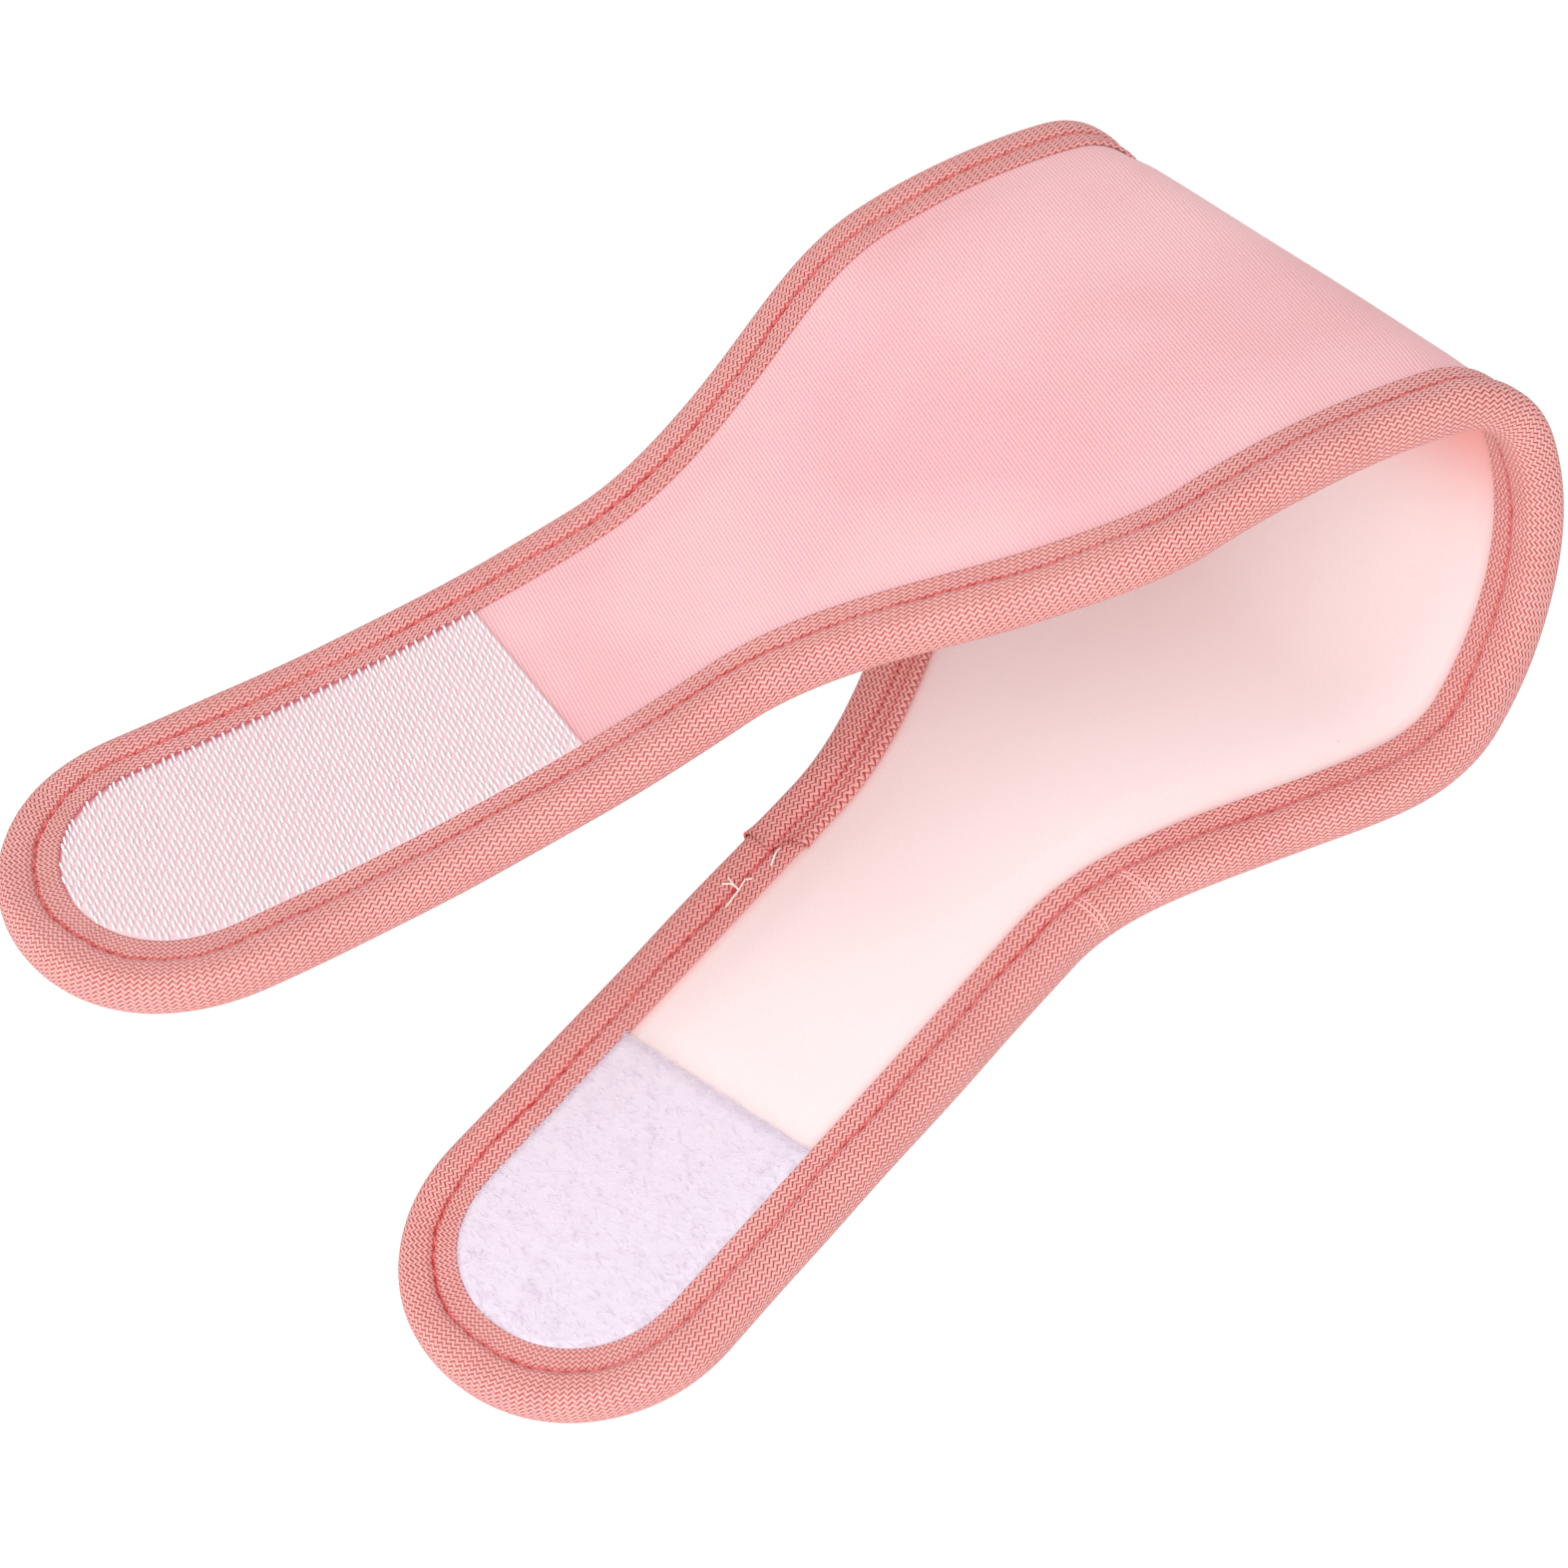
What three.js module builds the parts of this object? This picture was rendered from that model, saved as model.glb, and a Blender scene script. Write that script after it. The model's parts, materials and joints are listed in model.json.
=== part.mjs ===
// Spa headband: a foam-laminate band with a bound edge, a hook tab and a loop tab,
// lying folded in a loose U.  Units are millimetres, +Z is up.
//
// The band is cut flat.  In the pattern, s runs along the band from the loop tip to the
// hook tip and v runs across it from the front edge to the back edge.  The laminate
// cannot stretch, so the fold keeps one family of straight lines, the rulings.  They
// fan out slowly, like the lines of a wide cone, and the band bends only across them.
import * as THREE from 'three';

// ---- flat pattern ----------------------------------------------------------
const LENGTH = 600;          // loop tip to hook tip
const CROWN_FRONT = 76;      // centreline to the front edge at the crown
const CROWN_BACK = 62;       // centreline to the back edge at the crown
const TAB_HALF = 37.5;       // centreline to either edge of a tab
const CROWN_RUN = 71;        // centre of the band to where it starts to narrow
const TAB_START = 159;       // centre of the band to where a tab's edges run parallel
const TIP_LENGTH = 37.5;     // length over which a tab rounds off
const TIP_POWER = 2.2;       // 2 is an ellipse, more is a squarer tip

// ---- fold -------------------------------------------------------------------
const SKEW = THREE.MathUtils.degToRad(8);   // turn of the band against the fold
const CONE_RADIUS = 476;                    // band centre to where the rulings meet
const BENDS = [                             // from the loop side on, first one ends at s = 0
  { radius: 44, degrees: 90 },
  { radius: 17, degrees: 72 },
  { radius: 145, degrees: 29 },
  { radius: -390, degrees: 22 },
];

// ---- plies ------------------------------------------------------------------
const FACE_THICK = 0.8;
const FOAM_THICK = 4;
const LINING_THICK = 1;
const PLY_GAP = 0.3;

// ---- edge binding -----------------------------------------------------------
const BINDING_WIDTH = 14.5;  // covered width on each side of the band
const FLANGE_THICK = 0.5;
const BEAD_WIDTH = 8.5;      // raised outer part of the binding
const BEAD_RISE = 0.8;       // bead above the flange
const BEAD_SHOULDER = 1;     // slope from the bead down to the flange
const BEAD_ROUND = 3.2;      // rounding of the bead at the edge
const NOSE_THICK = 2.4;      // binding and turned-in seam allowance at the edge
const PLY_EDGE_GAP = 0.4;    // plies stop this far inside the binding

// ---- seam thread and closure tapes ------------------------------------------
const THREAD_WIDTH = 0.6;
const THREAD_THICK = 0.4;
const SEAM_OFFSET = 0.9;     // foot of the bead to the middle of the seam
const TAPE_THICK = 1.3;
const TAPE_GAP = 0.4;        // tape to the binding's inner edge
const HOOK_TAPE_START = 188; // centre of the band to the hook tape's inner end
const LOOP_TAPE_START = 223.5;

// ---- flex lines ---------------------------------------------------------------
// The band flexes at two rulings in the fold and at one beside each closure tape.
const FOLD_FLEXES = [-35, 15];
const TAPE_FLEX_GAP = 6;     // a tape's nearest corner to the flex line beside it
const FLEX_CLEARANCE = 0.3;
const BODIES = ['loop_tab', 'loop_arm', 'crown', 'hook_arm', 'hook_tab'];

// ---- meshing ------------------------------------------------------------------
const OUTLINE_STEP = 1;      // spacing of the points that hold the outline
const CHORD_ERROR = 0.1;     // largest gap between a facet and the true curve
const MAX_STEP = 12;
const TAPE_ACROSS = 4;       // facets across a closure tape

// Depth is measured from the middle of the laminate, towards the lining.
const PANEL_HALF = (FACE_THICK + FOAM_THICK + LINING_THICK) / 2 + PLY_GAP;
const FACE_DEPTH = [-PANEL_HALF, -PANEL_HALF + FACE_THICK];
const FOAM_DEPTH = [FACE_DEPTH[1] + PLY_GAP, FACE_DEPTH[1] + PLY_GAP + FOAM_THICK];
const LINING_DEPTH = [PANEL_HALF - LINING_THICK, PANEL_HALF];
const CHANNEL_HALF = PANEL_HALF + PLY_GAP;
const FLANGE_HALF = CHANNEL_HALF + FLANGE_THICK;
const BEAD_HALF = FLANGE_HALF + BEAD_RISE;
const PLY_INSET = NOSE_THICK + PLY_EDGE_GAP;
const SEAM_INSET = BEAD_WIDTH + BEAD_SHOULDER + SEAM_OFFSET;

const COLOURS = {
  face: { color: 0xe58f92, roughness: 0.85 },
  foam: { color: 0xf3ead9, roughness: 0.95 },
  lining: { color: 0xf6ddd2, roughness: 0.95 },
  binding: { color: 0xe5877c, roughness: 0.8 },
  thread: { color: 0xd85a5a, roughness: 0.7 },
  hook: { color: 0xf7e6e4, roughness: 0.6 },
  loop: { color: 0xeee4f2, roughness: 0.9 },
};

// ---- pattern ------------------------------------------------------------------
function smoothStep(t) {
  return THREE.MathUtils.smoothstep(t, 0, 1);
}

/** Distance from the centreline to an edge, for an edge that is crownHalf away at the crown. */
function halfWidth(s, crownHalf) {
  const reach = Math.abs(s);
  const narrowing = smoothStep((reach - CROWN_RUN) / (TAB_START - CROWN_RUN));
  const straight = THREE.MathUtils.lerp(crownHalf, TAB_HALF, narrowing);
  const tip = THREE.MathUtils.clamp((reach - LENGTH / 2) / TIP_LENGTH + 1, 0, 1);
  return straight * Math.sqrt(1 - tip ** TIP_POWER);
}

/** Closed outline from the loop tip along the front edge and back along the back edge. */
function makeOutline() {
  const points = [];
  const samples = LENGTH * 4;
  for (let i = 0; i < samples; i += 1) {
    const turn = (2 * Math.PI * i) / samples;
    const s = (-LENGTH / 2) * Math.cos(turn);
    const front = turn < Math.PI;
    const v = front ? -halfWidth(s, CROWN_FRONT) : halfWidth(s, CROWN_BACK);
    points.push(new THREE.Vector2(s, v));
  }
  return points;
}

/** Outline points spaced evenly along its length, each with its inward normal. */
function spaceEvenly(points) {
  const lengths = [0];
  points.forEach((p, i) => lengths.push(lengths[i] + p.distanceTo(points[(i + 1) % points.length])));
  const total = lengths[points.length];
  const count = Math.round(total / OUTLINE_STEP);
  const even = [];
  let i = 0;
  for (let k = 0; k < count; k += 1) {
    const wanted = (total * k) / count;
    while (lengths[i + 1] < wanted) i += 1;
    const part = (wanted - lengths[i]) / (lengths[i + 1] - lengths[i]);
    even.push(points[i].clone().lerp(points[(i + 1) % points.length], part));
  }
  const normals = even.map((p, k) => {
    const along = even[(k + 1) % count].clone().sub(even[(k + count - 1) % count]).normalize();
    return new THREE.Vector2(-along.y, along.x);
  });
  return { even, normals, total, count };
}

const OUTLINE = spaceEvenly(makeOutline());

/** Pattern point at run u along the outline, inset from the edge.  u may pass either end. */
function edgePoint(u, inset) {
  const { even, normals, total, count } = OUTLINE;
  const place = (((u / total) % 1) + 1) % 1 * count;
  const k = Math.floor(place) % count;
  const next = (k + 1) % count;
  const point = even[k].clone().lerp(even[next], place - Math.floor(place));
  const normal = normals[k].clone().lerp(normals[next], place - Math.floor(place)).normalize();
  return point.addScaledVector(normal, inset);
}

/** Lowest and highest q where a closed line of [p, q] points crosses p = value. */
function span(points, value) {
  const found = [];
  points.forEach(([p, q], i) => {
    const [p2, q2] = points[(i + 1) % points.length];
    if ((p < value) !== (p2 < value)) found.push(q + ((q2 - q) * (value - p)) / (p2 - p));
  });
  return [Math.min(...found), Math.max(...found)];
}

/** The outline drawn in by inset, each point passed through map. */
function insetOutline(inset, map) {
  return OUTLINE.even.map((p, k) => map(p.clone().addScaledVector(OUTLINE.normals[k], inset)));
}

// ---- fold ---------------------------------------------------------------------
/** Pattern point to fold coordinates: run across the rulings, and reach along one. */
function toFold(point) {
  const across = point.x * Math.cos(SKEW) - point.y * Math.sin(SKEW);
  const away = CONE_RADIUS - point.x * Math.sin(SKEW) - point.y * Math.cos(SKEW);
  return [CONE_RADIUS * Math.atan2(across, away), Math.hypot(across, away) - CONE_RADIUS];
}

/** Rigid step of the local frame (ruling, run, lining side) over a run at one curvature. */
function rollStep(curvature, run) {
  const axis = new THREE.Vector3(curvature, 0, 1 / CONE_RADIUS);
  const rate = axis.length();
  const centre = new THREE.Vector3(-1 / CONE_RADIUS, 0, curvature).divideScalar(rate * rate);
  const step = new THREE.Matrix4().makeTranslation(centre);
  step.multiply(new THREE.Matrix4().makeRotationAxis(axis.divideScalar(rate), rate * run));
  return step.multiply(new THREE.Matrix4().makeTranslation(centre.negate()));
}

/** Start and end run of each bend; the first bend ends at run 0. */
function layBends() {
  let run = -BENDS[0].radius * THREE.MathUtils.degToRad(BENDS[0].degrees);
  return BENDS.map(({ radius, degrees }) => {
    const from = run;
    run += Math.abs(radius) * THREE.MathUtils.degToRad(degrees);
    return { from, to: run, curvature: 1 / radius };
  });
}

const LAID_BENDS = layBends();

/** Local frame on the ruling at a run: x along the ruling, y along the band, z to the lining. */
function frameAt(run) {
  const frame = new THREE.Matrix4().makeBasis(
    new THREE.Vector3(0, -1, 0), new THREE.Vector3(1, 0, 0), new THREE.Vector3(0, 0, 1));
  frame.premultiply(new THREE.Matrix4().makeRotationZ(-SKEW));
  frame.multiply(rollStep(0, Math.min(run, LAID_BENDS[0].from)));
  let reached = LAID_BENDS[0].from;
  for (const { from, to, curvature } of LAID_BENDS) {
    frame.multiply(rollStep(curvature, THREE.MathUtils.clamp(run, from, to) - from));
    reached = to;
  }
  return frame.multiply(rollStep(0, Math.max(run - reached, 0)));
}

/** Point of the folded band at a run, a reach along the ruling and a depth. */
function foldPoint(run, reach, depth) {
  return new THREE.Vector3(reach, 0, depth).applyMatrix4(frameAt(run));
}

function patternPoint(point, depth) {
  const [run, reach] = toFold(point);
  return foldPoint(run, reach, depth);
}

// ---- flex lines ---------------------------------------------------------------
/** Run of the flex line beside the straight inner end of a closure tape. */
function besideTape(start) {
  const half = TAB_HALF - BINDING_WIDTH - TAPE_GAP;
  const corners = [-half, half].map((v) => toFold(new THREE.Vector2(start, v))[0]);
  return start > 0 ? Math.min(...corners) - TAPE_FLEX_GAP : Math.max(...corners) + TAPE_FLEX_GAP;
}

// inward is the largest turn towards the lining and outward the largest turn towards
// the face, both in degrees.
const FLEXES = [
  { at: besideTape(-LOOP_TAPE_START), inward: 30, outward: 20 },
  { at: FOLD_FLEXES[0], inward: 2, outward: 80 },
  { at: FOLD_FLEXES[1], inward: 2, outward: 80 },
  { at: besideTape(HOOK_TAPE_START), inward: 25, outward: 30 },
];

/** How far from its flex line a piece at a depth stops, so that it clears at full turn. */
function flexStop(flex, depth) {
  const turn = depth > 0 ? flex.inward : flex.outward;
  return FLEX_CLEARANCE + Math.abs(depth) * Math.tan(THREE.MathUtils.degToRad(turn / 2));
}

/** First and last run of a body at a depth; null on the side where the band's tip is. */
function bodyRuns(index, depth) {
  const before = FLEXES[index - 1];
  const after = FLEXES[index];
  return [
    before ? before.at + flexStop(before, depth) : null,
    after ? after.at - flexStop(after, depth) : null,
  ];
}

/** Run along the outline where the inset edge crosses a ruling, on the front or back edge. */
function crossing(run, inset, front) {
  let low = front ? 0 : OUTLINE.total / 2;
  let high = front ? OUTLINE.total / 2 : OUTLINE.total;
  for (let i = 0; i < 40; i += 1) {
    const middle = (low + high) / 2;
    const before = toFold(edgePoint(middle, inset))[0] < run;
    if (before === front) low = middle;
    else high = middle;
  }
  return (low + high) / 2;
}

// ---- meshing ------------------------------------------------------------------
/** Shares of a curve, from 0 to 1, close enough together to hold every curve given. */
function pace(length, curves) {
  const samples = Math.ceil(length);
  const cost = [0];
  for (let i = 0; i < samples; i += 1) {
    const t = (i + 0.5) / samples;
    let step = MAX_STEP;
    for (const curve of curves) {
      const [a, b, c] = [t - 1 / samples, t, t + 1 / samples].map(
        (x) => curve(THREE.MathUtils.clamp(x, 0, 1)));
      const bend = a.add(c).addScaledVector(b, -2).length() * (samples / length) ** 2;
      step = Math.min(step, Math.sqrt((8 * CHORD_ERROR) / Math.max(bend, 1e-6)));
    }
    cost.push(cost[i] + length / samples / step);
  }
  const count = Math.ceil(cost[samples]);
  const shares = [0];
  for (let k = 1; k < count; k += 1) {
    const wanted = (cost[samples] * k) / count;
    const i = cost.findIndex((value) => value > wanted) - 1;
    shares.push((i + (wanted - cost[i]) / (cost[i + 1] - cost[i])) / samples);
  }
  return [...shares, 1];
}

/** Signed volume of a closed triangle mesh. */
function volumeOf(points, triangles) {
  return triangles.reduce((sum, [a, b, c]) =>
    sum + points[a].dot(points[b].clone().cross(points[c])) / 6, 0);
}

/** Closed solid through rings of points: quads between rings and a lid on each end. */
function loft(rings, lid) {
  const size = rings[0].length;
  const points = rings.flat();
  const triangles = [];
  for (let k = 0; k + 1 < rings.length; k += 1) {
    for (let i = 0; i < size; i += 1) {
      const j = (i + 1) % size;
      const [a, b] = [k * size + i, k * size + j];
      triangles.push([a, b, a + size], [b, b + size, a + size]);
    }
  }
  const last = (rings.length - 1) * size;
  lid.forEach(([a, b, c]) => triangles.push([a, c, b], [last + a, last + b, last + c]));
  const inward = volumeOf(points, triangles) < 0;
  const geometry = new THREE.BufferGeometry().setFromPoints(points);
  geometry.setIndex(triangles.flatMap(([a, b, c]) => (inward ? [a, c, b] : [a, b, c])));
  geometry.computeVertexNormals();
  return geometry;
}

/** Lid triangles of a profile given as [x, y] pairs in anticlockwise order. */
function lidOf(profile) {
  return THREE.ShapeUtils.triangulateShape(profile.map(([x, y]) => new THREE.Vector2(x, y)), []);
}

// ---- pieces -------------------------------------------------------------------
/** One ply of one body, with straight edges along the rulings that bound it. */
function plyGeometry(index, [low, high]) {
  const edge = insetOutline(PLY_INSET, toFold);
  const runs = edge.map(([run]) => run);
  const tips = [Math.min(...runs), Math.max(...runs)];
  const ends = [low, high].map((depth) => bodyRuns(index, depth));
  const tipMargin = CHORD_ERROR / 2;
  const runAt = (end, share) => {
    const from = end[0] ?? tips[0] + tipMargin;
    const to = end[1] ?? tips[1] - tipMargin;
    // Stations crowd towards a round tip, where the edges close quickly.
    if (end[0] === null) return THREE.MathUtils.lerp(from, to, share * share);
    if (end[1] === null) return THREE.MathUtils.lerp(to, from, (1 - share) * (1 - share));
    return THREE.MathUtils.lerp(from, to, share);
  };
  const corner = (side, share) => {
    const run = runAt(ends[0], share);
    return foldPoint(run, span(edge, run)[side], low);
  };
  const length = Math.abs(runAt(ends[0], 1) - runAt(ends[0], 0));
  const shares = pace(length, [(t) => corner(0, t), (t) => corner(1, t)]);
  const rings = shares.map((share) => {
    const [lowRun, highRun] = ends.map((end) => runAt(end, share));
    const [lowBack, lowFront] = span(edge, lowRun);
    const [highBack, highFront] = span(edge, highRun);
    return [
      foldPoint(lowRun, lowBack, low), foldPoint(lowRun, lowFront, low),
      foldPoint(highRun, highFront, high), foldPoint(highRun, highBack, high),
    ];
  });
  return loft(rings, [[0, 1, 2], [0, 2, 3]]);
}

/** Strips of edge that a body has: both edges, or one strip round the tip of a tab. */
function edgeStrips(index) {
  if (index === 0) return [{ name: '', ends: [[1, false], [1, true]] }];
  if (index === BODIES.length - 1) return [{ name: '', ends: [[0, true], [0, false]] }];
  return [
    { name: 'front_', ends: [[0, true], [1, true]] },
    { name: 'back_', ends: [[1, false], [0, false]] },
  ];
}

/** A profile of [inset, depth] pairs carried along a strip of a body's edge. */
function edgeGeometry(index, strip, profile) {
  const limits = profile.map(([inset, depth]) => {
    const runs = bodyRuns(index, depth);
    const [from, to] = strip.ends.map(([end, front]) => crossing(runs[end], inset, front));
    return [from > to ? from - OUTLINE.total : from, to];
  });
  const pointAt = (i, share) => {
    const u = THREE.MathUtils.lerp(limits[i][0], limits[i][1], share);
    return patternPoint(edgePoint(u, profile[i][0]), profile[i][1]);
  };
  const shares = pace(limits[0][1] - limits[0][0], [(t) => pointAt(0, t)]);
  return loft(shares.map((share) => profile.map((_, i) => pointAt(i, share))), lidOf(profile));
}

/** Binding section: a channel that takes the plies, with a raised bead at the edge. */
function bindingProfile() {
  const side = [
    [BINDING_WIDTH, CHANNEL_HALF],
    [BINDING_WIDTH, FLANGE_HALF],
    [BEAD_WIDTH + BEAD_SHOULDER, FLANGE_HALF],
    [BEAD_WIDTH, BEAD_HALF],
    [BEAD_ROUND, BEAD_HALF],
    [BEAD_ROUND / 5, BEAD_HALF * 0.6],
  ];
  const mirrored = side.map(([inset, depth]) => [inset, -depth]).reverse();
  const channel = [[NOSE_THICK, -CHANNEL_HALF], [NOSE_THICK, CHANNEL_HALF]];
  return [...side, [0, 0], ...mirrored, ...channel];
}

/** Square thread section on the face side (-1) or the lining side (1). */
function threadProfile(side) {
  const low = FLANGE_HALF + PLY_GAP;
  const corners = [
    [SEAM_INSET - THREAD_WIDTH / 2, low],
    [SEAM_INSET + THREAD_WIDTH / 2, low],
    [SEAM_INSET + THREAD_WIDTH / 2, low + THREAD_THICK],
    [SEAM_INSET - THREAD_WIDTH / 2, low + THREAD_THICK],
  ];
  const placed = corners.map(([inset, depth]) => [inset, side * depth]);
  return side > 0 ? placed : placed.reverse();
}

/** Closure tape from its straight inner end round the tip, on one side of a tab. */
function tapeGeometry(start, side) {
  const edge = insetOutline(BINDING_WIDTH + TAPE_GAP, (p) => [p.x, p.y]);
  const reach = Math.max(...edge.map(([s]) => Math.abs(s))) - CHORD_ERROR / 2;
  const direction = Math.sign(start);
  const stationAt = (share) => direction * THREE.MathUtils.lerp(
    reach, Math.abs(start), (1 - share) * (1 - share));
  const depths = [CHANNEL_HALF, CHANNEL_HALF + TAPE_THICK].map((depth) => side * depth);
  const pointAt = (share, across, depth) => {
    const s = stationAt(share);
    const [back, front] = span(edge, s);
    return patternPoint(new THREE.Vector2(s, THREE.MathUtils.lerp(back, front, across)), depth);
  };
  const shares = pace(reach - Math.abs(start), [(t) => pointAt(t, 0, depths[0])]);
  const steps = Array.from({ length: TAPE_ACROSS + 1 }, (_, j) => j / TAPE_ACROSS);
  const rings = shares.map((share) => [
    ...steps.map((across) => pointAt(share, across, depths[0])),
    ...steps.toReversed().map((across) => pointAt(share, across, depths[1])),
  ]);
  const top = 2 * TAPE_ACROSS + 1;
  const lid = steps.slice(1).flatMap((_, j) => [[j, j + 1, top - j - 1], [j, top - j - 1, top - j]]);
  return loft(rings, lid);
}

// ---- assembly -----------------------------------------------------------------
const group = new THREE.Group();

function addPiece(name, geometry, finish) {
  const material = new THREE.MeshStandardMaterial({ ...COLOURS[finish], metalness: 0 });
  const mesh = new THREE.Mesh(geometry, material);
  mesh.name = name;
  group.add(mesh);
}

BODIES.forEach((body, index) => {
  addPiece(`face_${body}`, plyGeometry(index, FACE_DEPTH), 'face');
  addPiece(`foam_${body}`, plyGeometry(index, FOAM_DEPTH), 'foam');
  addPiece(`lining_${body}`, plyGeometry(index, LINING_DEPTH), 'lining');
  for (const strip of edgeStrips(index)) {
    const place = `${strip.name}${body}`;
    addPiece(`binding_${place}`, edgeGeometry(index, strip, bindingProfile()), 'binding');
    addPiece(`needle_thread_${place}`, edgeGeometry(index, strip, threadProfile(-1)), 'thread');
    addPiece(`bobbin_thread_${place}`, edgeGeometry(index, strip, threadProfile(1)), 'thread');
  }
});
addPiece('hook_tape', tapeGeometry(HOOK_TAPE_START, -1), 'hook');
addPiece('loop_tape', tapeGeometry(-LOOP_TAPE_START, 1), 'loop');

/** Stands the band on z = 0 with the middle of its outer size at the origin. */
function centreOnGround(model) {
  const box = new THREE.Box3().setFromObject(model);
  const middle = box.getCenter(new THREE.Vector3());
  model.position.set(-middle.x, -middle.y, -box.min.z);
  model.updateMatrixWorld(true);
}

centreOnGround(group);

export default group;
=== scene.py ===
import json
import logging
import math
from dataclasses import dataclass, field
from enum import Enum

import bpy
import numpy as np
from mathutils import Matrix


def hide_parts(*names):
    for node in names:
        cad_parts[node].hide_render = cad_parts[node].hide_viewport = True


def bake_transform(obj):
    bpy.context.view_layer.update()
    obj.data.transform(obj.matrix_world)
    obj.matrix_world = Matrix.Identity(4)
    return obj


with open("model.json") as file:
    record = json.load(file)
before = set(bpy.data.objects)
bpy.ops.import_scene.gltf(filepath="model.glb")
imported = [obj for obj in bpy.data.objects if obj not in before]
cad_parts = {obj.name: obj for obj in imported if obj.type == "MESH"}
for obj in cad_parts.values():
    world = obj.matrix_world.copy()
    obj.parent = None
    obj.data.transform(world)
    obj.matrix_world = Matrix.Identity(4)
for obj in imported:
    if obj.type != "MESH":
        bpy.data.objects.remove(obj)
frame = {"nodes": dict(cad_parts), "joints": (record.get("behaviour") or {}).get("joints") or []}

log = logging.getLogger("headband")
SEED = 11
THREAD_CREASE = 80.0


def linear(red: int, green: int, blue: int) -> tuple[float, float, float]:
    """Linear colour of an 8-bit display colour.

    Args:
        red: Red from 0 to 255.
        green: Green from 0 to 255.
        blue: Blue from 0 to 255.

    Returns:
        The three linear values, where a shade below 0.04 is divided by 12.92 and any
        other is ((shade + 0.055) / 1.055) to the power 2.4.
    """
    shades = np.array([red, green, blue]) / 255
    curved = ((shades + 0.055) / 1.055) ** 2.4
    return tuple(float(x) for x in np.where(shades < 0.04, shades / 12.92, curved))


def ease(share: np.ndarray) -> np.ndarray:
    """Smooth step of a share held between 0 and 1: 3 share squared less 2 share cubed."""
    held = np.clip(share, 0, 1)
    return held * held * (3 - 2 * held)


def unit(vectors: np.ndarray) -> np.ndarray:
    """Vectors along the last axis, each divided by its own length."""
    return vectors / np.maximum(np.linalg.norm(vectors, axis=-1, keepdims=True), 1e-12)


# ---- shape of the band ------------------------------------------------------------
class Edge(Enum):
    """The two long edges of the band."""

    FRONT = "front"
    BACK = "back"


class Side(Enum):
    """The two sides of the laminate, as the sign of their depth."""

    FACE = -1
    LINING = 1


# A ruling's run with the edge that it is met on, and the edge between two of them.
Ruling = tuple[float, Edge]
Strip = tuple[Ruling, Ruling]


@dataclass
class Pattern:
    """The flat cut of the band, with its outline as evenly spaced points."""

    length: float = 0.600
    crown_front: float = 0.076
    crown_back: float = 0.062
    tab_half: float = 0.0375
    crown_run: float = 0.071
    tab_start: float = 0.159
    tip_length: float = 0.0375
    tip_power: float = 2.2
    step: float = 0.0005
    samples: int = 9600

    def __post_init__(self) -> None:
        """Lays out the outline from the loop tip along the front and home along the back."""
        turn = np.linspace(0, 2 * np.pi, self.samples, endpoint=False)
        s = -self.length / 2 * np.cos(turn)
        front = -self.half_width(s, self.crown_front)
        back = self.half_width(s, self.crown_back)
        rough = np.stack([s, np.where(turn < np.pi, front, back)], -1)
        closed = np.vstack([rough, rough[:1]])
        reached = np.concatenate([[0], np.cumsum(np.linalg.norm(np.diff(closed, axis=0), axis=1))])
        self.total = float(reached[-1])
        self.count = round(self.total / self.step)
        even = np.arange(self.count) * self.total / self.count
        self.points = np.stack([np.interp(even, reached, closed[:, i]) for i in (0, 1)], -1)
        along = unit(np.roll(self.points, -2, 0) - np.roll(self.points, 2, 0))
        self.normals = np.stack([-along[:, 1], along[:, 0]], -1)

    def half_width(self, s: np.ndarray, crown: float) -> np.ndarray:
        """Distance from the centreline to one edge.

        Args:
            s: Places along the band.
            crown: Distance to that edge at the crown.

        Returns:
            The distance: level over the crown, eased down to the tab, and closed at the
            tip as the root of 1 less a power of the share of the tip that is passed.
        """
        reach = np.abs(s)
        narrowing = ease((reach - self.crown_run) / (self.tab_start - self.crown_run))
        straight = crown + (self.tab_half - crown) * narrowing
        tip = np.clip((reach - self.length / 2) / self.tip_length + 1, 0, 1)
        return straight * np.sqrt(1 - tip**self.tip_power)

    def edge_distance(self, flat: np.ndarray) -> np.ndarray:
        """Distance from rows of pattern points to the outline."""
        outline = self.points[::2]
        return np.stack([np.linalg.norm(row[:, None] - outline, axis=-1).min(1) for row in flat])

    def at_edge(self, u: np.ndarray, inset: np.ndarray) -> np.ndarray:
        """Pattern points at a run u along the outline, drawn in from it by an inset.

        Args:
            u: Run along the outline from the loop tip, of any size.
            inset: Distance inwards from the outline.

        Returns:
            The points as [..., (s, v)].
        """
        u, inset = np.broadcast_arrays(u, inset)
        place = np.mod(u / self.total, 1.0) * self.count
        whole = np.floor(place).astype(int)
        part = (place - whole)[..., None]
        here, after = whole % self.count, (whole + 1) % self.count
        point = self.points[here] * (1 - part) + self.points[after] * part
        normal = unit(self.normals[here] * (1 - part) + self.normals[after] * part)
        return point + normal * inset[..., None]


@dataclass(frozen=True)
class Bend:
    """A stretch of even curvature; a positive radius curls it towards the lining."""

    radius: float
    degrees: float


@dataclass(frozen=True)
class Stage:
    """A stretch of the fold: its runs, curvature, and the local frame at its reference."""

    low: float
    high: float
    reference: float
    curvature: float
    basis: np.ndarray
    origin: np.ndarray


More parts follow.
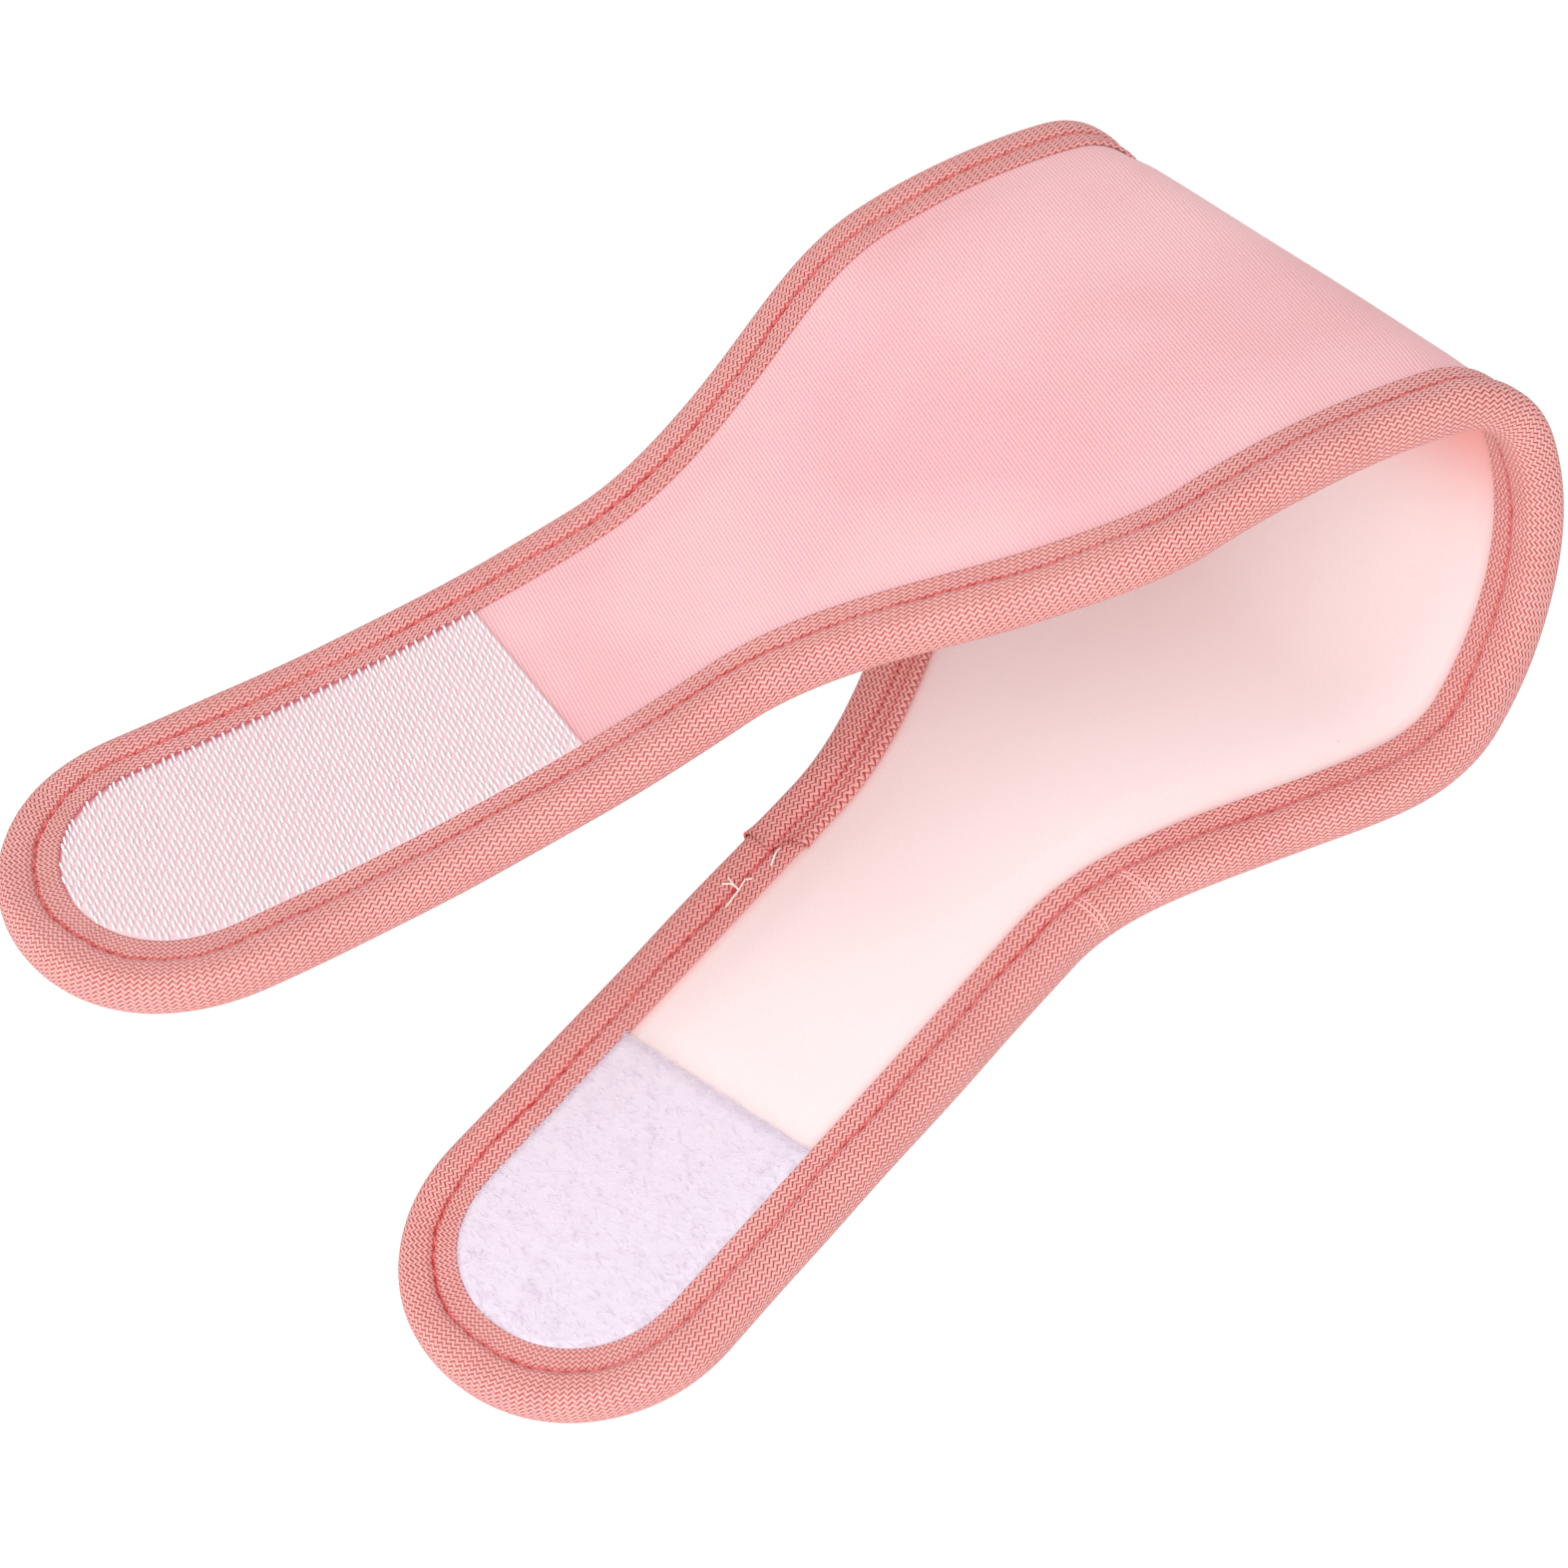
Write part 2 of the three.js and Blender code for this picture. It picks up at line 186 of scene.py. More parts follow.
@dataclass
class Fold:
    """The fold of the flat band about rulings that fan out as a wide cone's lines do."""

    skew: float = math.radians(8)
    cone_radius: float = 0.476
    bends: tuple[Bend, ...] = (Bend(0.044, 90), Bend(0.017, 72), Bend(0.145, 29), Bend(-0.390, 22))
    shift: np.ndarray = field(default_factory=lambda: np.zeros(3))

    def __post_init__(self) -> None:
        """Chains the stages; the first bend ends at run 0."""
        cos, sin = math.cos(-self.skew), math.sin(-self.skew)
        turn = np.array([[cos, -sin, 0], [sin, cos, 0], [0, 0, 1]])
        basis = turn @ np.array([[0, 1, 0], [-1, 0, 0], [0, 0, 1.0]])
        start = -self.bends[0].radius * math.radians(self.bends[0].degrees)
        self.stages = [Stage(-np.inf, start, 0.0, 0.0, basis, np.zeros(3))]
        run, origin = start, self.carry(self.stages[0], np.array([start]), np.zeros((1, 3)))[0]
        basis = self.carried_basis(self.stages[0], start)
        for bend in self.bends:
            end = run + abs(bend.radius) * math.radians(bend.degrees)
            stage = Stage(run, end, run, 1 / bend.radius, basis, origin)
            origin = self.carry(stage, np.array([end]), np.zeros((1, 3)))[0]
            basis = self.carried_basis(stage, end)
            self.stages.append(stage)
            run = end
        self.stages.append(Stage(run, np.inf, run, 0.0, basis, origin))

    def carry(self, stage: Stage, run: np.ndarray, local: np.ndarray) -> np.ndarray:
        """Places points given on their ruling's own axes within one stage.

        A step along the band turns the local frame about one fixed screw-free axis: the
        point's arm from that axis is turned by the rate of turn times the run.

        Args:
            stage: The stage that holds the points.
            run: Run of each point, shape (N,).
            local: Points as (reach, 0, depth), shape (N, 3).

        Returns:
            The points in the row frame, before the fold's shift.
        """
        fan = 1 / self.cone_radius
        axis = np.array([stage.curvature, 0, fan])
        rate = np.linalg.norm(axis)
        axis = axis / rate
        centre = np.array([-fan, 0, stage.curvature]) / rate**2
        arm = local - centre
        angle = (rate * (run - stage.reference))[:, None]
        cos, sin = np.cos(angle), np.sin(angle)
        turned = arm * cos + np.cross(axis, arm) * sin + axis * (arm @ axis)[:, None] * (1 - cos)
        return (turned + centre) @ stage.basis.T + stage.origin

    def carried_basis(self, stage: Stage, run: float) -> np.ndarray:
        """Axes of the local frame at one run, as what the frame's own axes are carried to.

        Args:
            stage: The stage that holds the run.
            run: The run.

        Returns:
            The three axes as columns.
        """
        there = np.full(4, run)
        ends = self.carry(stage, there, np.vstack([np.zeros(3), np.eye(3)]))
        return (ends[1:] - ends[0]).T

    def to_fold(self, flat: np.ndarray) -> tuple[np.ndarray, np.ndarray]:
        """Pattern points to fold coordinates.

        Args:
            flat: Points as [..., (s, v)].

        Returns:
            Run across the rulings, which is the cone's radius times the angle about its
            apex, and reach along a ruling, which is the distance past the middle line.
        """
        s, v = flat[..., 0], flat[..., 1]
        across = s * math.cos(self.skew) - v * math.sin(self.skew)
        away = self.cone_radius - s * math.sin(self.skew) - v * math.cos(self.skew)
        return self.cone_radius * np.arctan2(across, away), np.hypot(across, away) - self.cone_radius

    def from_fold(self, run: np.ndarray, reach: np.ndarray) -> np.ndarray:
        """Fold coordinates back to pattern points, the reverse of to_fold.

        Args:
            run: Run across the rulings.
            reach: Reach along each ruling.

        Returns:
            The points as [..., (s, v)].
        """
        turn = run / self.cone_radius
        across = (self.cone_radius + reach) * np.sin(turn)
        past = self.cone_radius - (self.cone_radius + reach) * np.cos(turn)
        cos, sin = math.cos(self.skew), math.sin(self.skew)
        return np.stack([across * cos + past * sin, past * cos - across * sin], -1)

    def place(self, run: np.ndarray, reach: np.ndarray, depth: np.ndarray) -> np.ndarray:
        """Points of the folded band.

        Args:
            run: Run across the rulings.
            reach: Reach along each ruling.
            depth: Depth towards the lining.

        Returns:
            The points as [..., (x, y, z)] in the row frame.
        """
        run, reach, depth = np.broadcast_arrays(run, reach, depth)
        local = np.stack([reach, np.zeros_like(reach, float), depth], -1).reshape(-1, 3).astype(float)
        runs = run.reshape(-1)
        placed = np.empty_like(local)
        for stage in self.stages:
            held = (runs > stage.low) & (runs <= stage.high)
            placed[held] = self.carry(stage, runs[held], local[held])
        return (placed + self.shift).reshape(run.shape + (3,))

    def place_flat(self, flat: np.ndarray, depth: np.ndarray) -> np.ndarray:
        """Folded place of pattern points at a depth."""
        run, reach = self.to_fold(flat)
        return self.place(run, reach, depth)

    def tangent(self, run: float) -> np.ndarray:
        """Direction along the band at the middle of one ruling."""
        near = self.place(np.array([run - 1e-5, run + 1e-5]), np.zeros(2), np.zeros(2))
        return unit(near[1] - near[0])


# ---- surfaces ---------------------------------------------------------------------
def loft_faces(rings: int, size: int) -> np.ndarray:
    """Quads between neighbouring rings that each close on themselves.

    Args:
        rings: Number of rings.
        size: Points in each.

    Returns:
        Corners counted along each ring and then from ring to ring, shape (quads, 4).
    """
    k = (np.arange(rings - 1) * size)[:, None]
    i = np.arange(size)[None, :]
    j = (i + 1) % size
    return np.stack([k + i, k + j, k + size + j, k + size + i], -1).reshape(-1, 4)


def loft_corners(uv: np.ndarray) -> np.ndarray:
    """UV of each quad's corners, from a grid that has one more column than the ring."""
    corners = [uv[:-1, :-1], uv[:-1, 1:], uv[1:, 1:], uv[1:, :-1]]
    return np.stack(corners, 2).reshape(-1, 4, 2)


def signed_volume(points: np.ndarray, faces: list[np.ndarray]) -> float:
    """Volume inside a closed shape, negative if its faces point inwards.

    It is the sum, over a fan of triangles in each face, of a sixth of a . (b x c).

    Args:
        points: Shape (N, 3).
        faces: Blocks of faces, each block with one number of corners.

    Returns:
        The volume.
    """
    total = 0.0
    for block in faces:
        a = points[block[:, 0]]
        for i in range(1, block.shape[1] - 1):
            b, c = points[block[:, i]], points[block[:, i + 1]]
            total += float((a * np.cross(b, c)).sum()) / 6
    return total


class Surface:
    """Points, faces and corner UVs of a mesh, gathered from whole arrays."""

    def __init__(self) -> None:
        """Starts with nothing in it."""
        self.points: list[np.ndarray] = []
        self.faces: list[np.ndarray] = []
        self.corners: list[np.ndarray] = []
        self.marks: list[np.ndarray] = []
        self.count = 0

    def add(self, points: np.ndarray, faces: list[np.ndarray], corners: list[np.ndarray],
            marks: np.ndarray | None = None) -> None:
        """Adds one closed shape and turns it right side out.

        Args:
            points: Shape (N, 3).
            faces: Blocks of faces, each block with one number of corners.
            corners: UV of each face's corners, block by block.
            marks: How strongly the finish's painted shade shows at each point, from 0 to 1.
        """
        self.marks.append(np.zeros(len(points)) if marks is None else marks.reshape(-1))
        inward = signed_volume(points - points.mean(0), faces) < 0
        for block, uv in zip(faces, corners, strict=True):
            self.faces.append((block[:, ::-1] if inward else block) + self.count)
            self.corners.append(uv[:, ::-1] if inward else uv)
        self.points.append(points)
        self.count += len(points)

    def loft(self, rings: np.ndarray, uv: np.ndarray, lid: np.ndarray,
             marks: np.ndarray | None = None) -> None:
        """Adds a closed skin through rings of points.

        Args:
            rings: Shape (rings, size, 3).
            uv: Shape (rings, size + 1, 2), one column more than the ring so that it closes.
            lid: Faces of one end in the ring's own point numbers, shape (faces, corners).
            marks: Shape (rings, size), or None.
        """
        count, size = rings.shape[:2]
        last = (count - 1) * size
        faces = [loft_faces(count, size), lid[:, ::-1], lid + last]
        corners = [loft_corners(uv), uv[0][lid[:, ::-1]], uv[-1][lid]]
        self.add(rings.reshape(-1, 3), faces, corners, marks)

    def slab(self, lower: np.ndarray, upper: np.ndarray, flat: np.ndarray,
             marks: tuple[np.ndarray, np.ndarray] | None = None) -> None:
        """Adds a thin closed sheet; each ring goes out on one skin and home on the other.

        Args:
            lower: First skin, shape (stations, across, 3).
            upper: Second skin, same shape.
            flat: UV of both, shape (stations, across, 2).
            marks: Marks of both skins, each of shape (stations, across), or None.
        """
        across = lower.shape[1]
        i = np.arange(across - 1)
        lid = np.stack([i, i + 1, 2 * across - 2 - i, 2 * across - 1 - i], -1)
        rings = np.concatenate([lower, upper[:, ::-1]], 1)
        uv = np.concatenate([flat, flat[:, ::-1], flat[:, :1]], 1)
        both = None if marks is None else np.concatenate([marks[0], marks[1][:, ::-1]], 1)
        self.loft(rings, uv, lid, both)

    def tubes(self, lines: np.ndarray, normals: np.ndarray, radii: np.ndarray, sides: int) -> None:
        """Adds many thin tubes at once.

        Each ring is the centre plus radius times (cos turn times the sideways direction
        plus sin turn times the upward one), both square to the tube.

        Args:
            lines: Centrelines, shape (tubes, rings, 3).
            normals: A direction across each centreline, same shape.
            radii: Shape (tubes, rings).
            sides: Corners of each ring.
        """
        tubes, rings = lines.shape[:2]
        along = unit(np.gradient(lines, axis=1))
        sideways = unit(np.cross(along, normals))
        upward = np.cross(sideways, along)
        turn = np.linspace(0, 2 * np.pi, sides, endpoint=False)
        spoke = (
            np.cos(turn)[:, None] * sideways[:, :, None, :]
            + np.sin(turn)[:, None] * upward[:, :, None, :]
        )
        points = lines[:, :, None, :] + radii[:, :, None, None] * spoke
        start = (np.arange(tubes) * rings * sides)[:, None, None]
        quads = (loft_faces(rings, sides)[None] + start).reshape(-1, 4)
        ring = np.arange(sides)[None, :]
        first = (ring[:, ::-1] + start[:, 0]).reshape(-1, sides)
        last = (ring + start[:, 0] + (rings - 1) * sides).reshape(-1, sides)
        spots = np.stack(np.meshgrid(
            np.linspace(0, 1, rings), np.linspace(0, 1, sides + 1), indexing="ij"), -1)
        quad_uv = np.tile(loft_corners(spots), (tubes, 1, 1))
        ends = [np.zeros((tubes, sides, 2)), np.ones((tubes, sides, 2))]
        self.add(points.reshape(-1, 3), [quads, first, last], [quad_uv, *ends])

    def piece(self, name: str, material: bpy.types.Material, crease: float = 40.0) -> bpy.types.Object:
        """Makes the object.

        Args:
            name: Name of the piece.
            material: Its material.
            crease: Edges that turn more than this many degrees stay sharp.

        Returns:
            The object, smooth shaded, at the origin.
        """
        mesh = bpy.data.meshes.new(name)
        points = np.concatenate(self.points)
        sizes = np.concatenate([np.full(len(b), b.shape[1]) for b in self.faces])
        loops = np.concatenate([b.reshape(-1) for b in self.faces])
        mesh.vertices.add(len(points))
        mesh.vertices.foreach_set("co", points.astype(np.float32).reshape(-1))
        mesh.loops.add(len(loops))
        mesh.loops.foreach_set("vertex_index", loops.astype(np.int32))
        mesh.polygons.add(len(sizes))
        starts = np.concatenate([[0], np.cumsum(sizes)[:-1]])
        mesh.polygons.foreach_set("loop_start", starts.astype(np.int32))
        mesh.polygons.foreach_set("use_smooth", np.ones(len(sizes), bool))
        mesh.update(calc_edges=True)
        layer = mesh.uv_layers.new(name="cloth")
        flat = np.concatenate([c.reshape(-1) for c in self.corners])
        layer.uv.foreach_set("vector", flat.astype(np.float32))
        # How strongly painted shade shows at each point.
        mark = mesh.attributes.new("painted_shade_mark", "FLOAT", "POINT")
        mark.data.foreach_set("value", np.concatenate(self.marks).astype(np.float32))
        mesh.set_sharp_from_angle(angle=math.radians(crease))
        mesh.validate()
        mesh.materials.append(material)
        made = bpy.data.objects.new(name, mesh)
        bpy.context.collection.objects.link(made)
        log.info("%-28s %7d faces", name, len(sizes))
        return made


# ---- spans of the band ---------------------------------------------------------------
@dataclass(frozen=True)
class Span:
    """A stretch of the band that bends across one joint; None is the band's own tip."""

    name: str
    low_body: str
    high_body: str
    joint: str
    low: float | None
    high: float | None
    soft_low: float
    soft_high: float


@dataclass
class Band:
    """The folded band: pattern, fold, layers and the spans that lie across the joints."""

    pattern: Pattern = field(default_factory=Pattern)
    fold: Fold = field(default_factory=Fold)
    fold_flexes: tuple[float, float] = (-0.035, 0.015)
    tape_flex_gap: float = 0.006
    loop_tape_start: float = 0.2235
    hook_tape_start: float = 0.188
    flex_tape_half: float = 0.0226
    binding_width: float = 0.0128
    channel_half: float = 0.0035
    bead_half: float = 0.0048
    panel_half: float = 0.0032
    ply_inset: float = 0.0028
    lower_cut: float = -0.105
    crown_cut: float = -0.010
    upper_cut: float = 0.105
    tip_crowding: float = 1.6
    crossing_samples: int = 4000
    cut_depth_share: float = 1.3
    cut_samples: int = 20

    def __post_init__(self) -> None:
        """Works out the flex lines, stands the fold on the frame's hinge, lays the spans."""
        flexes = [self.beside_tape(-self.loop_tape_start), *self.fold_flexes,
                  self.beside_tape(self.hook_tape_start)]
        hinge = next(j for j in frame["joints"] if j["name"] == "loop_tab_flex")
        middle = self.fold.place(np.array(flexes[0]), np.array(0.0), np.array(0.0))
        self.fold.shift = np.array(hinge["pos_m"]) - middle
        self.flex = dict(zip(("loop_tab_flex", "fold_lower_flex", "fold_upper_flex", "hook_tab_flex"),
                             flexes, strict=True))
        cuts = (self.lower_cut, self.crown_cut, self.upper_cut)
        self.spans = (
            Span("loop_end", "loop_tab", "loop_arm", "loop_tab_flex", None, cuts[0], 0.024, 0.024),
            Span("lower_fold", "loop_arm", "crown", "fold_lower_flex", cuts[0], cuts[1], 0.050, 0.030),
            Span("upper_fold", "crown", "hook_arm", "fold_upper_flex", cuts[1], cuts[2], 0.020, 0.046),
            Span("hook_end", "hook_arm", "hook_tab", "hook_tab_flex", cuts[2], None, 0.024, 0.024),
        )

    def beside_tape(self, start: float) -> float:
        """Flex line beside the straight inner end of a closure tape.

        Args:
            start: Place of that end along the pattern.

        Returns:
            The run of the ruling that clears both corners of the tape by the flex gap.
        """
        half = self.flex_tape_half
        runs = self.fold.to_fold(np.array([[start, -half], [start, half]]))[0]
        if start > 0:
            return float(runs.min() - self.tape_flex_gap)
        return float(runs.max() + self.tape_flex_gap)

    def chains(self, inset: float, folded: bool) -> dict[Edge, tuple[np.ndarray, np.ndarray]]:
        """Both edges of the outline drawn in, as one coordinate over the other.

        Args:
            inset: Distance inwards from the outline.
            folded: True for (run, reach), False for (s, v).

        Returns:
            For each edge the rising first coordinate and the second that goes with it.
        """
        u = np.arange(self.pattern.count) * self.pattern.total / self.pattern.count
        flat = self.pattern.at_edge(u, np.full_like(u, inset))
        key, value = self.fold.to_fold(flat) if folded else (flat[:, 0], flat[:, 1])
        first, last = int(np.argmin(key)), int(np.argmax(key))
        order = np.roll(np.arange(len(u)), -first)
        turn = (last - first) % len(u)
        front, back = order[: turn + 1], np.append(order[turn:], order[0])[::-1]
        return {Edge.FRONT: (key[front], value[front]), Edge.BACK: (key[back], value[back])}

    def ruled(self, span: Span, inset: float, step: float, across: int) -> tuple[np.ndarray, np.ndarray]:
        """Stations of one span along its rulings, from the back edge to the front.

        Args:
            span: The span.
            inset: How far inside the outline its sides lie.
            step: Usual distance between stations; they crowd towards a tip.
            across: Number of columns.

        Returns:
            Run and reach, each of shape (stations, across).
        """
        edges = self.chains(inset, folded=True)
        front, back = edges[Edge.FRONT], edges[Edge.BACK]
        hair = 2e-5
        low = front[0][0] + hair if span.low is None else span.low
        high = front[0][-1] - hair if span.high is None else span.high
        share = np.linspace(0, 1, int((high - low) / step) + 2)
        if span.low is None:
            share = share**self.tip_crowding
        if span.high is None:
            share = 1 - (1 - share) ** self.tip_crowding
        run = low + (high - low) * share
        near, far = np.interp(run, *back), np.interp(run, *front)
        columns = np.linspace(0, 1, across)[None, :]
        reach = near[:, None] + (far - near)[:, None] * columns
        return np.broadcast_to(run[:, None], reach.shape), reach

    def crossing(self, run: float, inset: float, edge: Edge) -> float:
        """Place where an inset edge crosses a ruling.

        Args:
            run: Run of the ruling across the fold.
            inset: Distance inwards from the outline.
            edge: Which long edge.

        Returns:
            The run along the outline, read off the edge's own runs.
        """
        half = self.pattern.total / 2
        clear = self.pattern.tab_half * 2
        u = np.linspace(clear, half - clear, self.crossing_samples) + (half if edge is Edge.BACK else 0)
        runs = self.fold.to_fold(self.pattern.at_edge(u, np.full_like(u, inset)))[0]
        if edge is Edge.BACK:
            return float(np.interp(run, runs[::-1], u[::-1]))
        return float(np.interp(run, runs, u))

    def strips(self, span: Span) -> dict[str, Strip]:
        """Strips of edge that a span has, each from one ruling to another along the outline.

        Args:
            span: The span.

        Returns:
            The strips by the prefix of their pieces' names; a tip has only one.
        """
        if span.low is None:
            return {"": ((span.high, Edge.BACK), (span.high, Edge.FRONT))}
        if span.high is None:
            return {"": ((span.low, Edge.FRONT), (span.low, Edge.BACK))}
        return {"front_": ((span.low, Edge.FRONT), (span.high, Edge.FRONT)),
                "back_": ((span.high, Edge.BACK), (span.low, Edge.BACK))}

    def limits(self, strip: Strip, inset: float) -> tuple[float, float]:
        """First and last run along the outline of a strip at one inset."""
        start, end = (self.crossing(run, inset, edge) for run, edge in strip)
        return (start - self.pattern.total, end) if start > end else (start, end)

    def on_edge(self, u: np.ndarray, inset: np.ndarray, depth: np.ndarray) -> np.ndarray:
        """Folded place of a point given by its run along the outline, inset and depth."""
        return self.fold.place_flat(self.pattern.at_edge(u, inset), depth)

    def upright(self, flat: np.ndarray) -> np.ndarray:
        """Direction of rising depth at pattern points.

        Args:
            flat: Points as [..., (s, v)].

        Returns:
            The directions, from the middle of the laminate to a place above it.
        """
        run, reach = self.fold.to_fold(flat)
        middle = self.fold.place(run, reach, np.zeros_like(run))
        return self.fold.place(run, reach, np.ones_like(run)) - middle

    def bend(self, piece: bpy.types.Object, span: Span) -> None:
        """Works out a soft zone across a span's joint, which nothing then uses, and bakes
        the piece's transform.

        The soft zone lies along the band's direction at the flex line.  It is cut short
        where it would reach the cut to the next span.

        Args:
            piece: The finished piece.
            span: The span that holds it.
        """
        run = self.flex[span.joint]
        hinge = self.fold.place(np.array(run), np.array(0.0), np.array(0.0))
        along = self.fold.tangent(run)
        deep = self.bead_half * self.cut_depth_share
        before, after = -span.soft_low, span.soft_high
        for cut, side in ((span.low, -1), (span.high, 1)):
            if cut is None:
                continue
            edges = self.chains(0.0, folded=True)
            ends = [np.interp(cut, *edges[e]) for e in Edge]
            reach, depth = np.meshgrid(np.linspace(*ends, self.cut_samples), [-deep, deep])
            passed = (self.fold.place(np.full(reach.shape, cut), reach, depth) - hinge) @ along
            if side < 0:
                before = max(before, float(passed.max()))
            else:
                after = min(after, float(passed.min()))
        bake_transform(piece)


# ---- finishes ------------------------------------------------------------------------
class Nodes:
    """Short calls that lay nodes in one tree."""

    def __init__(self, tree: bpy.types.NodeTree) -> None:
        """Takes the tree to lay nodes in."""
        self.tree = tree

    def add(self, kind: str, **settings: object) -> bpy.types.Node:
        """New node with its own settings.

        Args:
            kind: Blender's name for the kind of node.
            settings: Values of the node's properties.

        Returns:
            The node.
        """
        node = self.tree.nodes.new(kind)
        for key, value in settings.items():
            setattr(node, key, value)
        return node

    def put(self, socket: bpy.types.NodeSocket, value: object) -> None:
        """Links a socket to another, or sets its value.

        Args:
            socket: The input to feed.
            value: Another socket, or a plain value.
        """
        if isinstance(value, bpy.types.NodeSocket):
            self.tree.links.new(value, socket)
        else:
            socket.default_value = value

    def math(self, operation: str, *values: object, clamp: bool = False) -> bpy.types.NodeSocket:
        """Result of a Math node.

        Args:
            operation: Blender's name for the operation.
            values: Its operands, as sockets or numbers.
            clamp: True to hold the result between 0 and 1.

        Returns:
            The result.
        """
        node = self.add("ShaderNodeMath", operation=operation, use_clamp=clamp)
        for socket, value in zip(node.inputs, values, strict=False):
            self.put(socket, value)
        return node.outputs[0]

    def band(self, value: object, low: object, high: object) -> bpy.types.NodeSocket:
        """Smooth step of a value from 0 at low to 1 at high.

        Args:
            value: The value.
            low: Where the step begins; it may be the greater of the two.
            high: Where it ends.

        Returns:
            The step, from 0 to 1.
        """
        node = self.add("ShaderNodeMapRange", interpolation_type="SMOOTHSTEP")
        for name, held in (("Value", value), ("From Min", low), ("From Max", high)):
            self.put(node.inputs[name], held)
        return node.outputs["Result"]

    def mix(self, factor: object, first: object, second: object) -> bpy.types.NodeSocket:
        """Colour between two colours.

        Args:
            factor: Share of the second colour.
            first: First colour, as a socket or three numbers.
            second: Second colour, likewise.

        Returns:
            The mixed colour.
        """
        node = self.add("ShaderNodeMix", data_type="RGBA")
        self.put(node.inputs[0], factor)
        for socket, value in ((node.inputs[6], first), (node.inputs[7], second)):
            self.put(socket, value if isinstance(value, bpy.types.NodeSocket) else (*value, 1.0))
        return node.outputs[2]

    def noise(self, vector: object, scale: object, detail: float) -> bpy.types.NodeSocket:
        """Noise value at a vector.

        Args:
            vector: Vector socket.
            scale: Scale, as a number or a socket.
            detail: How many finer octaves it has.

        Returns:
            The value, from 0 to 1.
        """
        node = self.add("ShaderNodeTexNoise")
        self.put(node.inputs["Vector"], vector)
        for name, value in (("Scale", scale), ("Detail", detail), ("Roughness", 0.5)):
            self.put(node.inputs[name], value)
        return node.outputs["Fac"]

    def stretch(self, vector: object, scale: tuple[float, float, float],
                turn: float) -> bpy.types.NodeSocket:
        """Vector turned about Z and scaled along each axis.

        Args:
            vector: Vector socket.
            scale: Scale along X, Y and Z.
            turn: Turn about Z in radians.

        Returns:
            The new vector.
        """
        node = self.add("ShaderNodeMapping")
        self.put(node.inputs["Vector"], vector)
        node.inputs["Scale"].default_value = scale
        node.inputs["Rotation"].default_value = (0, 0, turn)
        return node.outputs[0]

    def parts(self, vector: object) -> tuple[bpy.types.NodeSocket, bpy.types.NodeSocket]:
        """First two parts of a vector.

        Args:
            vector: Vector socket.

        Returns:
            Its X and Y.
        """
        node = self.add("ShaderNodeSeparateXYZ")
        self.put(node.inputs[0], vector)
        return node.outputs[0], node.outputs[1]


def new_group(name: str, inputs: dict[str, float | None],
              outputs: tuple[str, ...]) -> tuple[Nodes, dict, dict]:
    """Starts a shader node group.

    Args:
        name: Name of the group.
        inputs: Input names with their usual value, or None for a vector.
        outputs: Names of the values that it puts out.

    Returns:
        The nodes, the group's inputs by name, and its output sockets by name.
    """
    tree = bpy.data.node_groups.new(name, "ShaderNodeTree")
    for key, value in inputs.items():
        kind = "NodeSocketVector" if value is None else "NodeSocketFloat"
        socket = tree.interface.new_socket(key, in_out="INPUT", socket_type=kind)
        if value is not None:
            socket.default_value = value
    for key in outputs:
        tree.interface.new_socket(key, in_out="OUTPUT", socket_type="NodeSocketFloat")
    nodes = Nodes(tree)
    given = nodes.add("NodeGroupInput")
    result = nodes.add("NodeGroupOutput")
    return nodes, {s.name: s for s in given.outputs}, {s.name: s for s in result.inputs}


def mottle_group() -> bpy.types.NodeTree:
    """Slow change of tone and fine nap, which every cloth here has.

    Tone is one broad noise and Nap is one fine noise.

    Returns:
        The group.
    """
    nodes, given, result = new_group(
        "cloth_mottle", {"Vector": None, "Broad": 25.0, "Fine": 2500.0}, ("Tone", "Nap"))
    for name, key, detail in (("Tone", "Broad", 2.0), ("Nap", "Fine", 4.0)):
        nodes.put(result[name], nodes.noise(given["Vector"], given[key], detail))
    return nodes.tree


def herringbone_group() -> bpy.types.NodeTree:
    """Zigzag rows of thread that run along a tape.

    The row number is the place across the tape over the row's width, swayed by a
    triangle wave of the place along it.  Gap is 1 midway between two rows, deeper on
    the falling flank of the wave, and Height is the round top of each row.

    Returns:
        The group.
    """
    nodes, given, result = new_group(
        "herringbone_rows", {"Vector": None, "Row": 0.00104, "Period": 0.00172, "Sway": 0.72},
        ("Gap", "Height"))
    along, across = nodes.parts(given["Vector"])
    phase = nodes.math("FRACT", nodes.math("DIVIDE", along, given["Period"]))
    wave = nodes.math("ABSOLUTE", nodes.math("SUBTRACT", phase, 0.5))
    sway = nodes.math("MULTIPLY", nodes.math("MULTIPLY", wave, 2.0), given["Sway"])
    row = nodes.math("ADD", nodes.math("DIVIDE", across, given["Row"]), sway)
    place = nodes.math("ABSOLUTE", nodes.math("SUBTRACT", nodes.math("FRACT", row), 0.5))
    falling = nodes.math("ADD", nodes.band(phase, 0.38, 0.55), nodes.band(phase, 0.12, 0.0), clamp=True)
    depth = nodes.math("ADD", nodes.math("MULTIPLY", falling, 0.45), 0.55)
    nodes.put(result["Gap"], nodes.math("MULTIPLY", nodes.band(place, 0.25, 0.41), depth))
    nodes.put(result["Height"], nodes.math("SUBTRACT", 1.0, nodes.band(place, 0.0, 0.5)))
    return nodes.tree


